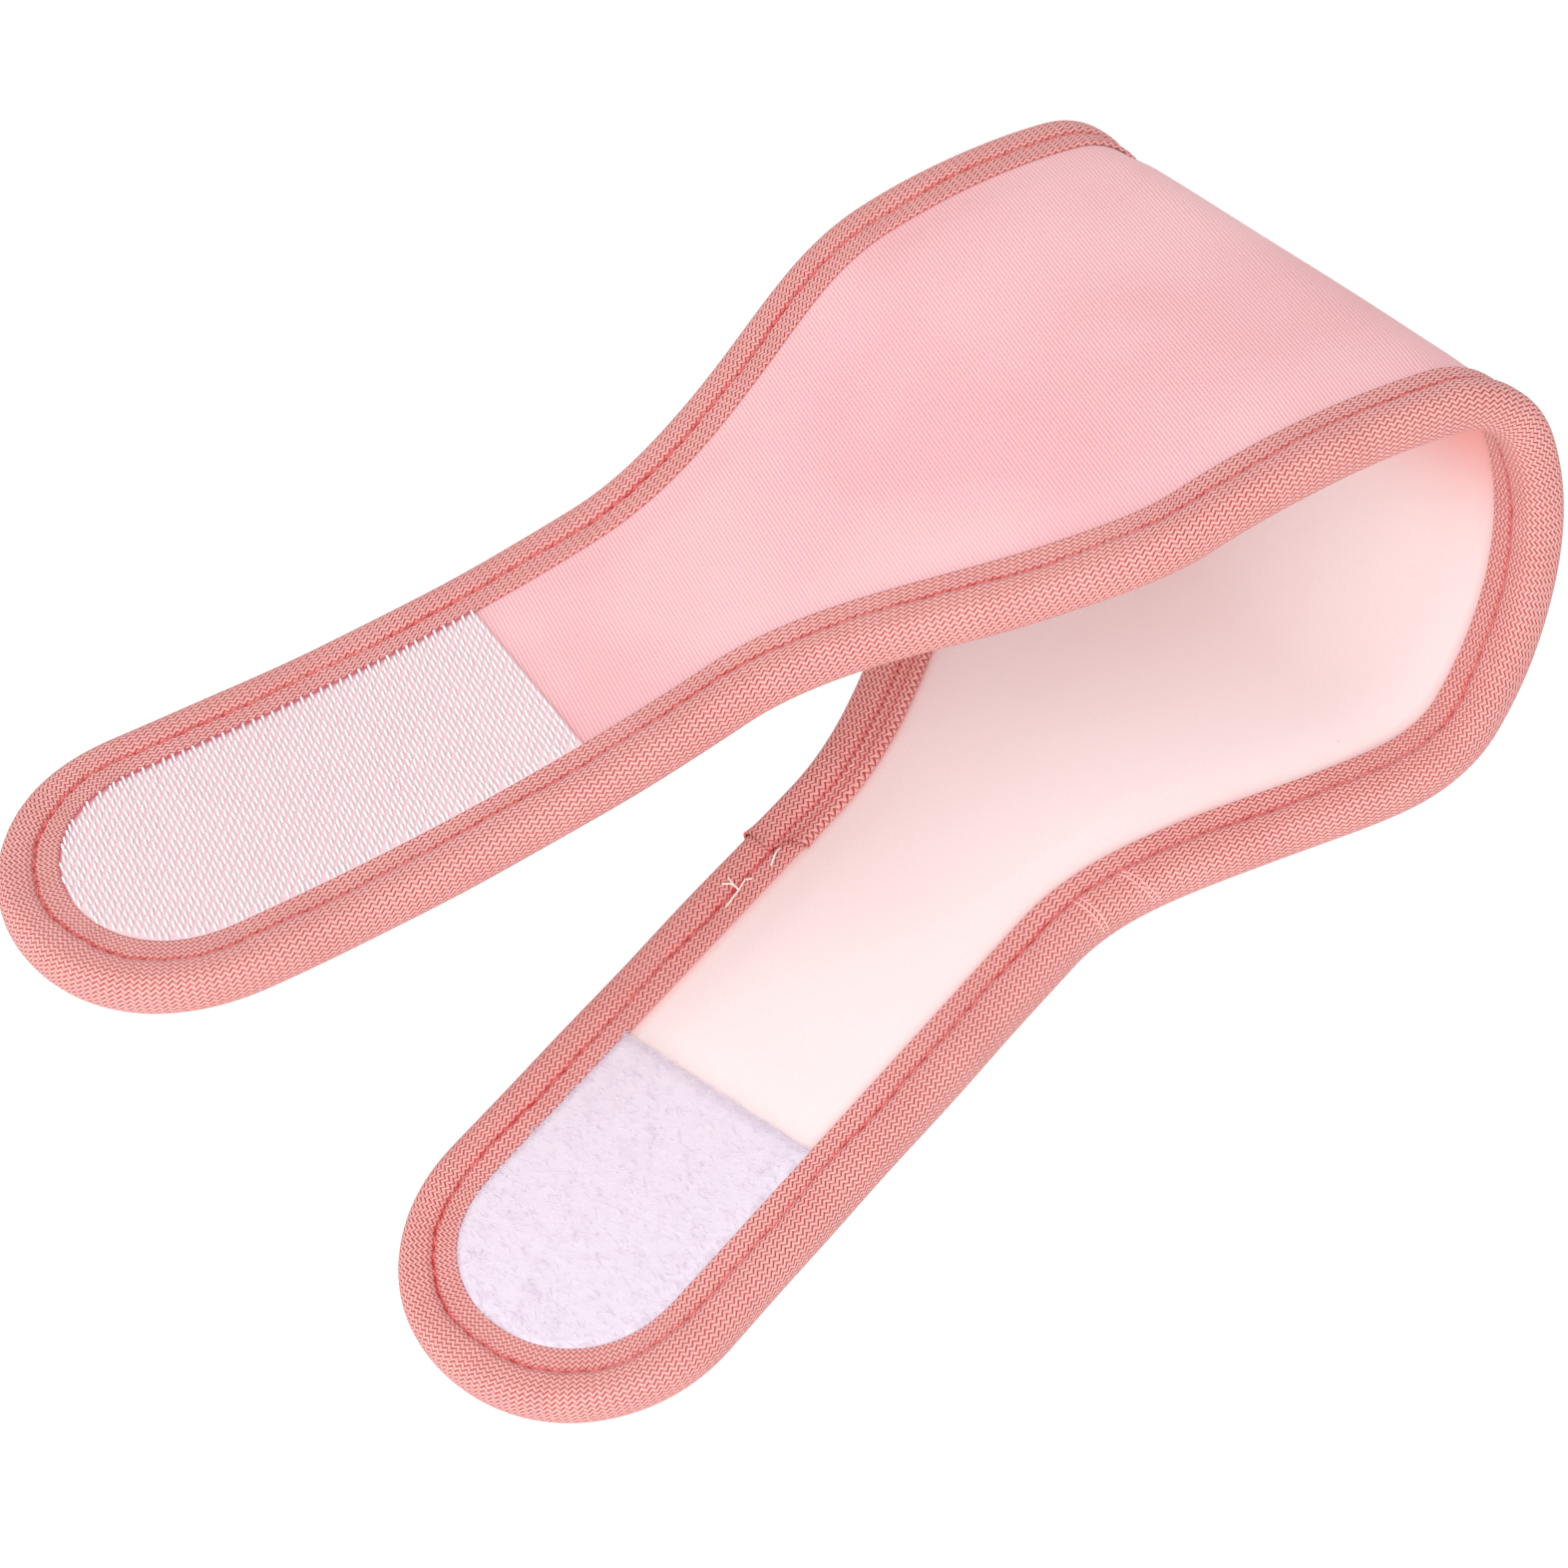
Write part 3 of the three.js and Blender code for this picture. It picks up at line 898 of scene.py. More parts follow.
@dataclass(frozen=True)
class Cloth:
    """A cloth's colours, the colour of its painted shade, how matt it is and how deep its surface is."""

    name: str
    slot: str
    light: tuple[float, float, float]
    dark: tuple[float, float, float]
    relief: float
    roughness: float = 0.9
    sheen: float = 0.15
    sheen_roughness: float = 0.5
    specular: float = 0.15
    tone_change: float = 0.35
    # edge is the colour of painted shade, mixed in as far as each point's mark says.
    edge: tuple[float, float, float] = linear(216, 84, 86)
    broad: float = 25.0
    fine: float = 2500.0

    def start(self) -> tuple[bpy.types.Material, Nodes, bpy.types.Node, bpy.types.Node, bpy.types.NodeSocket]:
        """New material with the shader's plain values set.

        Returns:
            The material, its nodes, the shader, the mottle group and the cloth's UV.
        """
        material = bpy.data.materials.new(self.name)
        material.use_nodes = True
        material.diffuse_color = (*self.light, 1.0)
        nodes = Nodes(material.node_tree)
        shader = material.node_tree.nodes["Principled BSDF"]
        plain = (("Roughness", self.roughness), ("Sheen Weight", self.sheen),
                 ("Sheen Roughness", self.sheen_roughness), ("Specular IOR Level", self.specular))
        for name, value in plain:
            shader.inputs[name].default_value = value
        mottle = nodes.add("ShaderNodeGroup", node_tree=GROUPS["mottle"])
        mapping = nodes.add("ShaderNodeUVMap", uv_map="cloth")
        nodes.put(mottle.inputs["Vector"], mapping.outputs[0])
        mottle.inputs["Broad"].default_value = self.broad
        mottle.inputs["Fine"].default_value = self.fine
        return material, nodes, shader, mottle, mapping.outputs[0]

    def tone(self, nodes: Nodes, mottle: bpy.types.Node, high: float = 0.7,
             low: float = 0.35) -> bpy.types.NodeSocket:
        """How strongly the slow change of tone darkens the cloth.

        Args:
            nodes: The material's nodes.
            mottle: The mottle group in it.
            high: Mottle value past which the cloth is darkest.
            low: Mottle value up to which it is lightest.

        Returns:
            The smooth step between the two, times the cloth's change of tone.
        """
        return nodes.math("MULTIPLY", nodes.band(mottle.outputs["Tone"], low, high), self.tone_change)

    def finish(self, nodes: Nodes, shader: bpy.types.Node, colour: object, height: object) -> None:
        """Joins a colour, with painted shade mixed in, and a height to the shader.

        Args:
            nodes: The material's nodes.
            shader: Its shader.
            colour: Colour socket.
            height: Height socket, from 0 to 1 over the relief.
        """
        # Painted shade: the edge colour, as far as each point's mark says.
        mark = nodes.add("ShaderNodeAttribute", attribute_name="painted_shade_mark")
        nodes.put(shader.inputs["Base Color"], nodes.mix(mark.outputs["Fac"], colour, self.edge))
        bump = nodes.add("ShaderNodeBump")
        bump.inputs["Strength"].default_value = 1.0
        nodes.put(bump.inputs["Distance"], self.relief)
        nodes.put(bump.inputs["Height"], height)
        nodes.put(shader.inputs["Normal"], bump.outputs[0])


@dataclass(frozen=True)
class RibKnit(Cloth):
    """Fine knit with ribs across the band."""

    broad: float = 16.0
    fine: float = 1900.0
    pitch: float = 0.00078
    lean: float = 0.127
    course: float = 0.0009
    course_sway: float = 0.00005

    def material(self) -> bpy.types.Material:
        """Ribs are a cosine of the place along the band plus a little of that across.

        Returns:
            The material.
        """
        material, nodes, shader, mottle, cloth = self.start()
        along, across = nodes.parts(cloth)
        stitch = nodes.math("SINE", nodes.math("MULTIPLY", across, 2 * math.pi / self.course))
        leant = nodes.math("ADD", along, nodes.math("MULTIPLY", across, self.lean))
        shifted = nodes.math("ADD", leant, nodes.math("MULTIPLY", stitch, self.course_sway))
        wave = nodes.math("COSINE", nodes.math("MULTIPLY", shifted, 2 * math.pi / self.pitch))
        rib = nodes.math("ADD", nodes.math("MULTIPLY", wave, 0.5), 0.5)
        height = nodes.math("ADD", nodes.math("MULTIPLY", rib, 0.8),
                            nodes.math("MULTIPLY", mottle.outputs["Nap"], 0.4))
        valley = nodes.band(height, 0.75, 0.15)
        tone = self.tone(nodes, mottle)
        shade = nodes.math("ADD", nodes.math("MULTIPLY", valley, 0.6), tone, clamp=True)
        self.finish(nodes, shader, nodes.mix(shade, self.light, self.dark), height)
        return material


@dataclass(frozen=True)
class Fleece(Cloth):
    """Brushed cloth with a short soft nap and a few dark specks of lint."""

    broad: float = 14.0
    fine: float = 1300.0
    speck: tuple[float, float, float] = linear(150, 130, 140)
    speck_density: float = 55.0
    speck_size: float = 0.016

    def material(self) -> bpy.types.Material:
        """Nap is fine noise; a speck shows where a sparse cell's centre is very near.

        Returns:
            The material.
        """
        material, nodes, shader, mottle, cloth = self.start()
        tone = self.tone(nodes, mottle, low=0.3)
        nap = nodes.math("MULTIPLY", nodes.band(mottle.outputs["Nap"], 0.7, 0.3), 0.25)
        shade = nodes.math("ADD", tone, nap, clamp=True)
        colour = nodes.mix(shade, self.light, self.dark)
        cells = nodes.add("ShaderNodeTexVoronoi", feature="F1")
        nodes.put(cells.inputs["Vector"], nodes.stretch(cloth, (1.0, 1.7, 1.0), 0.5))
        cells.inputs["Scale"].default_value = self.speck_density
        spot = nodes.band(cells.outputs["Distance"], self.speck_size, self.speck_size / 2)
        lint = nodes.math("MULTIPLY", spot, 0.7)
        self.finish(nodes, shader, nodes.mix(lint, colour, self.speck), mottle.outputs["Nap"])
        return material


@dataclass(frozen=True)
class Herringbone(Cloth):
    """Woven tape with zigzag rows of thread along it."""

    broad: float = 60.0
    fine: float = 2600.0

    def material(self) -> bpy.types.Material:
        """Rows from the herringbone group, with the thread's own twist as fine noise.

        Returns:
            The material.
        """
        material, nodes, shader, mottle, cloth = self.start()
        rows = nodes.add("ShaderNodeGroup", node_tree=GROUPS["herringbone"])
        nodes.put(rows.inputs["Vector"], cloth)
        tone = self.tone(nodes, mottle)
        twist = nodes.math("MULTIPLY", nodes.band(mottle.outputs["Nap"], 0.62, 0.38), 0.22)
        shade = nodes.math("ADD", nodes.math("ADD", rows.outputs["Gap"], tone), twist, clamp=True)
        height = nodes.math("ADD", rows.outputs["Height"], nodes.math("MULTIPLY", mottle.outputs["Nap"], 0.3))
        self.finish(nodes, shader, nodes.mix(shade, self.light, self.dark), height)
        return material


@dataclass(frozen=True)
class Fibre(Cloth):
    """Thread, pile, hooks and foam: one colour with a fine mottle along it."""

    broad: float = 90.0
    fine: float = 900.0

    def material(self) -> bpy.types.Material:
        """Mottle on object coordinates, because each fibre is too thin for its own UV.

        Returns:
            The material.
        """
        material, nodes, shader, mottle, _ = self.start()
        place = nodes.add("ShaderNodeTexCoord")
        nodes.put(mottle.inputs["Vector"], place.outputs["Object"])
        tone = self.tone(nodes, mottle, high=0.65)
        nap = nodes.math("MULTIPLY", nodes.band(mottle.outputs["Nap"], 0.65, 0.35), 0.3)
        shade = nodes.math("ADD", tone, nap, clamp=True)
        self.finish(nodes, shader, nodes.mix(shade, self.light, self.dark), mottle.outputs["Nap"])
        return material


GROUPS = {"mottle": mottle_group(), "herringbone": herringbone_group()}
# Each edge colour is painted shade: dark red in and beside the binding's groove, under the lap and between
# the back hooks, and pink and salmon on the lining beside the binding and inside the fold. The other finishes
# never show theirs.
FINISHES = {
    "face": RibKnit("rib_knit_pink", "face", linear(243, 197, 201), linear(223, 146, 151), 0.00009,
                    tone_change=0.24, edge=linear(234, 152, 155)),
    "lining": Fleece("brushed_lining", "lining", linear(237, 224, 224), linear(235, 214, 213), 0.00006,
                     sheen=0.2, edge=linear(228, 118, 106)),
    "foam": Fibre("open_cell_foam", "foam", linear(243, 234, 217), linear(226, 214, 192), 0.0003),
    "binding": Herringbone("herringbone_tape", "binding", linear(243, 181, 175), linear(168, 60, 62),
                           0.00018, tone_change=0.06, edge=linear(196, 38, 48)),
    "thread": Fibre("seam_thread", "thread", linear(236, 118, 116), linear(214, 84, 86), 0.00005,
                    roughness=0.6, specular=0.35),
    "tack": Fibre("tack_thread", "thread", linear(252, 198, 192), linear(240, 164, 158), 0.00005),
    "loose_thread": Fibre("loose_thread_end", "thread", linear(250, 236, 230), linear(244, 214, 206),
                          0.00004, roughness=0.6, specular=0.3),
    "hook_ground": Fibre("hook_tape_ground", "hook", linear(231, 203, 208), linear(226, 190, 197), 0.0001,
                         tone_change=0.1, edge=linear(184, 76, 90)),
    "hook": Fibre("hook_nylon", "hook", linear(249, 240, 242), linear(243, 227, 230), 0.00003,
                  roughness=0.42, sheen=0.0, specular=0.5, tone_change=0.1),
    "loop_ground": Fibre("loop_tape_ground", "loop", linear(221, 211, 223), linear(216, 205, 219), 0.00016,
                         sheen=0.3, tone_change=0.15, fine=420.0),
    "loop": Fibre("loop_pile", "loop", linear(231, 221, 233), linear(221, 209, 224), 0.00002,
                  roughness=0.5, sheen=0.4, specular=0.4, tone_change=0.15),
}
MATERIALS = {key: finish.material() for key, finish in FINISHES.items()}


def dress(piece: bpy.types.Object, finish: str, *nodes: str) -> bpy.types.Object:
    """Hides the frame nodes that a piece stands for.

    Args:
        piece: The piece.
        finish: Its key in FINISHES; not used.
        nodes: Names of the frame nodes.

    Returns:
        The same piece.
    """
    if nodes:
        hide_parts(*nodes)
    return piece


# ---- laminate ----------------------------------------------------------------------
@dataclass
class Laminate:
    """The three plies: pink face, foam core and brushed lining."""

    band: Band
    face_thick: float = 0.0008
    foam_thick: float = 0.0040
    lining_thick: float = 0.0010
    ply_gap: float = 0.0003
    step: float = 0.0020
    across: int = 64
    crown: float = 0.0007
    crown_rise: float = 0.011
    tape_rise: float = 0.008
    ripple: float = 0.00034
    ripple_waves: tuple[tuple[float, float, float], ...] = ((95, 31, 0.0), (52, -68, 1.3), (23, 90, 4.1))
    foam_fill: float = 0.9
    # Painted shade on the lining: a narrow pink shade beside the binding and a wide salmon shade inside the
    # top of the fold.
    binding_shade_width: float = 0.0011
    binding_shade_strength: float = 0.35
    painted_shade: float = 0.72
    painted_shade_run: float = 0.002
    painted_shade_spread: float = 0.019

    def __post_init__(self) -> None:
        """Lays one grid for each span, which all three plies share.

        With it goes how strongly painted shade reddens the lining, which is the greater of two bell
        curves: a narrow one beside the binding, painted shade with pink bounce light, and a wide
        one over the top of the fold, painted shade inside the fold.
        """
        self.grids = {}
        for span in self.band.spans:
            run, reach = self.band.ruled(span, self.band.ply_inset, self.step, self.across)
            flat = self.band.fold.from_fold(run, reach)
            swells = {side: self.swell(flat, side) for side in Side}
            # Painted shade: pink beside the binding and salmon inside the top of the fold, as the strength of
            # the lining's edge colour.
            clear = self.band.pattern.edge_distance(flat) - self.band.binding_width
            near = self.binding_shade_strength * np.exp(-((np.maximum(clear, 0) / self.binding_shade_width) ** 2))
            deep = np.exp(-(((run - self.painted_shade_run) / self.painted_shade_spread) ** 2))
            near = np.maximum(near, self.painted_shade * deep)
            self.grids[span] = (run, reach, flat, swells, near)

    def swell(self, flat: np.ndarray, side: Side) -> np.ndarray:
        """How far the soft panel stands out past its seams.

        Args:
            flat: Pattern points, shape (stations, across, 2).
            side: The side of the laminate.

        Returns:
            The crown height plus a ripple that is the mean of three sines of s and v,
            eased away towards the binding and under that side's closure tape.
        """
        s, v = flat[..., 0], flat[..., 1]
        clear = self.band.pattern.edge_distance(flat) - self.band.binding_width
        past_tape = self.band.hook_tape_start - s if side is Side.FACE else s + self.band.loop_tape_start
        rise = ease(clear / self.crown_rise) * ease(past_tape / self.tape_rise)
        waves = [np.sin(s * along + v * over + start) for along, over, start in self.ripple_waves]
        return rise * (self.crown + self.ripple * sum(waves) / len(waves))

    def ply(self, name: str, finish: str, low: float, high: float) -> None:
        """Builds one ply of every span as a thin closed slab and bakes its transform.

        Args:
            name: The ply's name, which is also its nodes' prefix.
            finish: Key of its finish.
            low: Depth of its side towards the face.
            high: Depth of its side towards the lining.
        """
        middle = (self.face_thick + self.foam_thick + self.lining_thick) / 2
        for span, (run, reach, flat, swells, near) in self.grids.items():
            skins = []
            for depth in (low, high):
                share = np.clip(depth / middle, -1, 1)
                swell = swells[Side.FACE if depth < 0 else Side.LINING]
                skins.append(self.band.fold.place(run, reach, depth + swell * share))
            surface = Surface()
            # Only the lining takes the painted shade.
            surface.slab(*skins, flat, (near, near) if name == "lining" else None)
            piece = surface.piece(f"{name}_{span.name}", MATERIALS[finish])
            dress(piece, finish, f"{name}_{span.low_body}", f"{name}_{span.high_body}")
            self.declare(name)
            self.band.bend(piece, span)

    def declare(self, name: str) -> None:
        """Does nothing: it returns at once for the foam, and does nothing for any other ply.

        Args:
            name: The ply's name.
        """
        if name == "foam":
            return

    def build(self) -> None:
        """Builds the foam first, because the cloths are bonded to it."""
        half = self.band.panel_half
        foam_low = -half + self.face_thick + self.ply_gap
        self.ply("foam", "foam", foam_low, foam_low + self.foam_thick)
        self.ply("face", "face", -half, -half + self.face_thick)
        self.ply("lining", "lining", half - self.lining_thick, half)


# ---- binding -------------------------------------------------------------------------
@dataclass
class Binding:
    """The folded tape round the edge: a fat bead, a stitched groove and a flat flange."""

    band: Band
    bead_middle: float = 0.0040
    bead_power: float = 2.3
    groove: float = 0.0079
    groove_half: float = 0.00372
    bead_rows: int = 13
    fall_rows: int = 15
    fall_crowding: float = 1.7
    fall_power: int = 5
    flange_rows: int = 12
    flange_crowding: float = 1.6
    lip_rows: int = 4
    flange_top: float = 0.00415
    flange_rise: float = 7.0
    lip: float = 0.0004
    edge_low: float = 0.00335
    nose: float = 0.0024
    step: float = 0.00065
    stitch_pitch: float = 0.0047
    pucker: float = 0.00010
    wander: float = 0.00022
    wander_waves: tuple[tuple[float, float], ...] = ((41, 0), (97, 2), (173, 5))
    seam_drift: float = 0.00020
    drift_half: float = 0.0021
    drift_waves: tuple[tuple[float, float, float], ...] = (
        (1.0, 137, 1), (0.7, 251, 2), (0.5, 730, 1), (0.3, 1290, 4))
    # crease_half is the width of the stitches' pucker and of the painted shade in the groove. The rest set
    # that painted shade, a dark red line that wavers and deepens at each needle hole, and a faint red painted
    # shade beside it.
    crease_half: float = 0.00036
    crease: float = 0.44
    crease_slow: float = 0.34
    crease_quick: float = 0.14
    crease_hole: float = 0.4
    crease_most: float = 0.95
    painted_shade: float = 0.08
    painted_shade_half: float = 0.0012

    def half_profile(self) -> tuple[np.ndarray, np.ndarray]:
        """Outer line of one side, from the nose to the flange's inner edge.

        The bead's outer quarter is a superellipse.  Its inner side falls to the groove as
        the fifth power of the share of the way, and the flange is level past an eased
        rise out of the groove, with a round end.  Points crowd where the line turns.

        Returns:
            Insets and half thicknesses.
        """
        turn = np.linspace(0, np.pi / 2, self.bead_rows)
        power = 2 / self.bead_power
        half = self.band.bead_half
        outer = self.bead_middle * (1 - np.cos(turn) ** power), half * np.sin(turn) ** power
        share = 1 - (1 - np.linspace(0, 1, self.fall_rows)[1:]) ** self.fall_crowding
        inner = (self.bead_middle + (self.groove - self.bead_middle) * share,
                 half - (half - self.groove_half) * share**self.fall_power)
        out = np.linspace(0, 1, self.flange_rows)[1:] ** self.flange_crowding
        end = self.band.binding_width - self.lip
        rise = self.groove_half + (self.flange_top - self.groove_half) * ease(out * self.flange_rise)
        flange = self.groove + (end - self.groove) * out, rise
        turn = np.linspace(0, np.pi / 2, self.lip_rows)[1:]
        round_end = (end + self.lip * np.sin(turn),
                     self.edge_low + (self.flange_top - self.edge_low) * np.cos(turn))
        return (np.concatenate([outer[0], inner[0], flange[0], round_end[0]]),
                np.concatenate([outer[1], inner[1], flange[1], round_end[1]]))

    def profile(self) -> tuple[np.ndarray, np.ndarray, np.ndarray]:
        """Whole closed section and the length round it at each point.

        Returns:
            Insets, depths, and lengths with one more entry than there are points.
        """
        inset, half = self.half_profile()
        inset = np.concatenate([inset[::-1], inset[1:], [self.nose, self.nose]])
        inside = self.edge_low
        depth = np.concatenate([half[::-1], -half[1:], [-inside, inside]])
        ring = np.stack([np.append(inset, inset[0]), np.append(depth, depth[0])], -1)
        length = np.concatenate([[0], np.cumsum(np.linalg.norm(np.diff(ring, axis=0), axis=1))])
        return inset, depth, length

    def drift(self, u: np.ndarray, inset: np.ndarray) -> np.ndarray:
        """How far the section strays inwards as the seam does.

        It is a sum of slow and quick sines, strongest in the groove, that fades to either
        side as a bell curve.

        Args:
            u: Runs along the outline.
            inset: Insets of the section.

        Returns:
            The shift in metres at each point.
        """
        waves = sum(share * np.sin(u * pace + start) for share, pace, start in self.drift_waves)
        near = np.exp(-(((inset - self.groove) / self.drift_half) ** 2))
        return self.seam_drift * waves * near

    def groove_shade_strength(self, u: np.ndarray, near_groove: np.ndarray) -> np.ndarray:
        """How strongly the painted shade in the groove shows.

        Its strength is a mean plus a product of two slow sines and one quick wavering
        sine, deepened at each needle hole by the exponential of a cosine.

        Args:
            u: Runs along the outline.
            near_groove: Share of the crease across the section, 1 in its middle.

        Returns:
            The strength at each point, from 0 to nearly 1.
        """
        hole = np.exp(4 * (np.cos(2 * np.pi * u / self.stitch_pitch) - 1))
        taut = self.crease + self.crease_slow * np.sin(u * 47) * np.sin(u * 83 + 1)
        taut = taut + self.crease_quick * np.sin(u * 530 + 3 * np.sin(u * 140))
        return near_groove * np.clip(taut + self.crease_hole * hole, 0, self.crease_most)

    def rings(self, strip: Strip, inset: np.ndarray,
              depth: np.ndarray) -> tuple[np.ndarray, np.ndarray, np.ndarray]:
        """The section carried along a strip of edge.

        Each section point runs between the two rulings that end the strip.  The groove is
        drawn in by a cosine with the stitch pitch, the seam strays and the bead's width
        wanders slowly.

        Args:
            strip: The two rulings, from Band.strips.
            inset: Insets of the section.
            depth: Depths of the section.

        Returns:
            The points, shape (rings, size, 3), their runs along the outline, and how
            strongly the painted shade in and beside the groove shows.
        """
        limits = np.array([self.band.limits(strip, float(x)) for x in inset])
        count = int((limits[0, 1] - limits[0, 0]) / self.step) + 2
        share = np.linspace(0, 1, count)[:, None]
        u = limits[:, 0] + (limits[:, 1] - limits[:, 0]) * share
        near_groove = np.exp(-(((inset - self.groove) / self.crease_half) ** 2))
        pulled = self.pucker * near_groove * np.cos(2 * np.pi * u / self.stitch_pitch)
        waves = [np.sin(u * pace + start) for pace, start in self.wander_waves]
        on_bead = np.where(inset < self.groove, 1 - inset / self.groove, 0)
        outer = (inset != self.nose).astype(float)
        drawn = inset - self.wander * sum(waves) / len(waves) * on_bead * outer
        drawn = drawn + self.drift(u, inset) * outer
        thick = np.sign(depth) * (np.abs(depth) - pulled * outer)
        # Painted shade: dark red in the groove and a faint red shade beside it.
        beside = self.painted_shade * np.exp(-(((inset - self.groove) / self.painted_shade_half) ** 2))
        groove_shade = outer * (self.groove_shade_strength(u, near_groove) + beside)
        return self.band.on_edge(u, drawn, thick), u, groove_shade

    def build(self) -> None:
        """Builds the binding of every strip of every span."""
        inset, depth, length = self.profile()
        lid = np.arange(len(inset))[None, :]
        for span in self.band.spans:
            for prefix, strip in self.band.strips(span).items():
                points, u, groove_shade = self.rings(strip, inset, depth)
                u = np.concatenate([u, u[:, :1]], 1)
                uv = np.stack([u, np.broadcast_to(length, u.shape)], -1)
                surface = Surface()
                surface.loft(points, uv, lid, groove_shade)
                piece = surface.piece(f"binding_{prefix}{span.name}", MATERIALS["binding"])
                nodes = [f"binding_{prefix}{span.low_body}", f"binding_{prefix}{span.high_body}"]
                if not prefix:
                    tab = span.low_body if span.low is None else span.high_body
                    nodes = [f"binding_{tab}"]
                dress(piece, "binding", *nodes)
                self.band.bend(piece, span)


@dataclass
class Seam:
    """Lock stitches in the binding's groove: needle thread on the face, bobbin under it."""

    band: Band
    binding: Binding
    thread_radius: float = 0.00020
    stitch_share: float = 0.66
    slant: float = 0.00016
    rings: int = 6
    sides: int = 6
    proud_share: float = 0.7
    sink: float = 0.00044
    thinning: float = 0.45

    def run(self, name: str, side: Side) -> None:
        """Builds the stitches of one side, span by span.

        A stitch is a short slanted tube.  It lies in the groove and dives at both ends as the
        fourth power of the share of its half length, where it also thins.

        Args:
            name: Name of the thread.
            side: The side of the laminate that it lies on.
        """
        pitch = self.binding.stitch_pitch
        count = round(self.band.pattern.total / pitch)
        middles = (np.arange(count) + 0.5) * self.band.pattern.total / count
        spot = self.band.pattern.at_edge(middles, np.full(count, self.binding.groove))
        runs = self.band.fold.to_fold(spot)[0]
        share = np.linspace(-1, 1, self.rings)
        for span in self.band.spans:
            low = -np.inf if span.low is None else span.low
            high = np.inf if span.high is None else span.high
            held = middles[(runs > low) & (runs <= high)]
            u = held[:, None] + share * pitch * self.stitch_share / 2
            groove = np.full(u.shape, self.binding.groove)
            inset = groove + self.binding.drift(u, groove) + self.slant * share
            lift = self.binding.groove_half + self.thread_radius * self.proud_share - self.sink * share**4
            depth = side.value * np.broadcast_to(lift, u.shape)
            flat = self.band.pattern.at_edge(u, inset)
            radii = self.thread_radius * (1 - self.thinning * share**4) * np.ones_like(u)
            surface = Surface()
            surface.tubes(self.band.fold.place_flat(flat, depth), self.band.upright(flat), radii, self.sides)
            piece = surface.piece(f"{name}_{span.name}", MATERIALS["thread"], crease=THREAD_CREASE)
            bodies = (span.low_body, span.high_body)
            nodes = [n for n in frame["nodes"] if n.startswith(name) and n.endswith(bodies)]
            dress(piece, "thread", *nodes)
            self.band.bend(piece, span)

    def build(self) -> None:
        """Both threads."""
        self.run("needle_thread", Side.FACE)
        self.run("bobbin_thread", Side.LINING)


@dataclass
class Lap:
    """The end of the binding, lapped over its own start on the back edge of the loop arm."""

    band: Band
    binding: Binding
    hidden_end: float = 1.0980
    hidden_taper: float = 0.012
    bead_end: float = 1.1657
    end_slant: float = 0.15
    flange_end: float = 1.1632
    flange_slant: float = -0.35
    flange_gap: float = 0.0002
    flange_ease: float = 0.0016
    crowding: float = 1.25
    fray: float = 0.00022
    fray_turn: float = 2.4
    fray_share: float = 0.1
    thick: float = 0.00055
    lift: float = 0.00055
    lift_fade: float = 0.0018
    inner_lift: float = 0.9
    floor_side: float = 0.0048
    floor_taper: float = 0.0055
    least_room: float = 0.04
    hair: float = 0.00001
    fold_line: float = 0.0104
    fold_half: float = 0.0003
    # Painted shade: dark red in the groove and at the flange's fold line on the outer skin, and a painted
    # shadow under the lifted cut end on the inner skin.
    crease_half: float = 0.0005
    crease: float = 0.9
    fold_line_shade: float = 0.7
    underside_shadow: float = 0.75
    underside_shadow_fade: float = 0.002
    step: float = 0.0007

    def build(self) -> None:
        """A second skin over the binding that thins out where it is hidden.

        The skin is the section moved out along its own normals.  It is thin under the
        band, so that the arm still rests on the floor, and it gapes at the cut end by a
        lift that fades as an exponential of the distance from that end.  The cut end
        slants one way on the bead and the other way on the flange, where it also frays.
        """
        inset, half = self.binding.half_profile()
        inset = np.concatenate([inset[::-1], inset[1:]])
        depth = np.concatenate([half[::-1], -half[1:]])
        along = unit(np.gradient(np.stack([inset, depth], -1), axis=0))
        normal = np.stack([along[:, 1], -along[:, 0]], -1)
        past_groove = inset - self.binding.groove
        flange = ease((past_groove - self.flange_gap) / self.flange_ease)
        end = self.bead_end + self.end_slant * inset
        end = end + (self.flange_end + self.flange_slant * past_groove - end) * flange
        count = int((self.bead_end - self.hidden_end) / self.step)
        share = 1 - (1 - np.linspace(0, 1, count)) ** self.crowding
        u = self.hidden_end + (end - self.hidden_end) * share[:, None]
        fray = self.fray * np.sin(np.arange(len(inset)) * self.fray_turn) * flange
        u = u + fray * ease((share[:, None] - 1 + self.fray_share) / self.fray_share)
        thin = ease((u - self.hidden_end) / self.hidden_taper)
        room = np.clip((depth + self.floor_side) / self.floor_taper, self.least_room, 1)
        gape = self.lift * np.exp(-(end - u) / self.lift_fade) * room
        skins = []
        for height in (self.thick * thin * room + gape, gape * self.inner_lift + self.hair):
            moved = np.stack([inset, depth], -1) + normal * height[..., None]
            strayed = moved[..., 0] + self.binding.drift(u, inset)
            skins.append(self.band.on_edge(u, strayed, moved[..., 1]))
        length = np.concatenate([[0], np.cumsum(np.hypot(np.diff(inset), np.diff(depth)))])
        flat = np.stack([u, np.broadcast_to(length, u.shape)], -1)
        # Painted shade on the outer skin in the groove and at the fold line, and painted shadow on the inner
        # skin under the lifted cut end.
        dark = np.exp(-((past_groove / self.crease_half) ** 2))
        dark = dark + self.fold_line_shade * np.exp(-(((inset - self.fold_line) / self.fold_half) ** 2))
        outside = np.broadcast_to(dark * self.crease, u.shape)
        inside = self.underside_shadow * np.exp(-(end - u) / self.underside_shadow_fade)
        surface = Surface()
        surface.slab(*skins, flat, (outside, inside))
        piece = surface.piece("binding_lap", MATERIALS["binding"])
        dress(piece, "binding")
        self.band.bend(piece, self.band.spans[0])


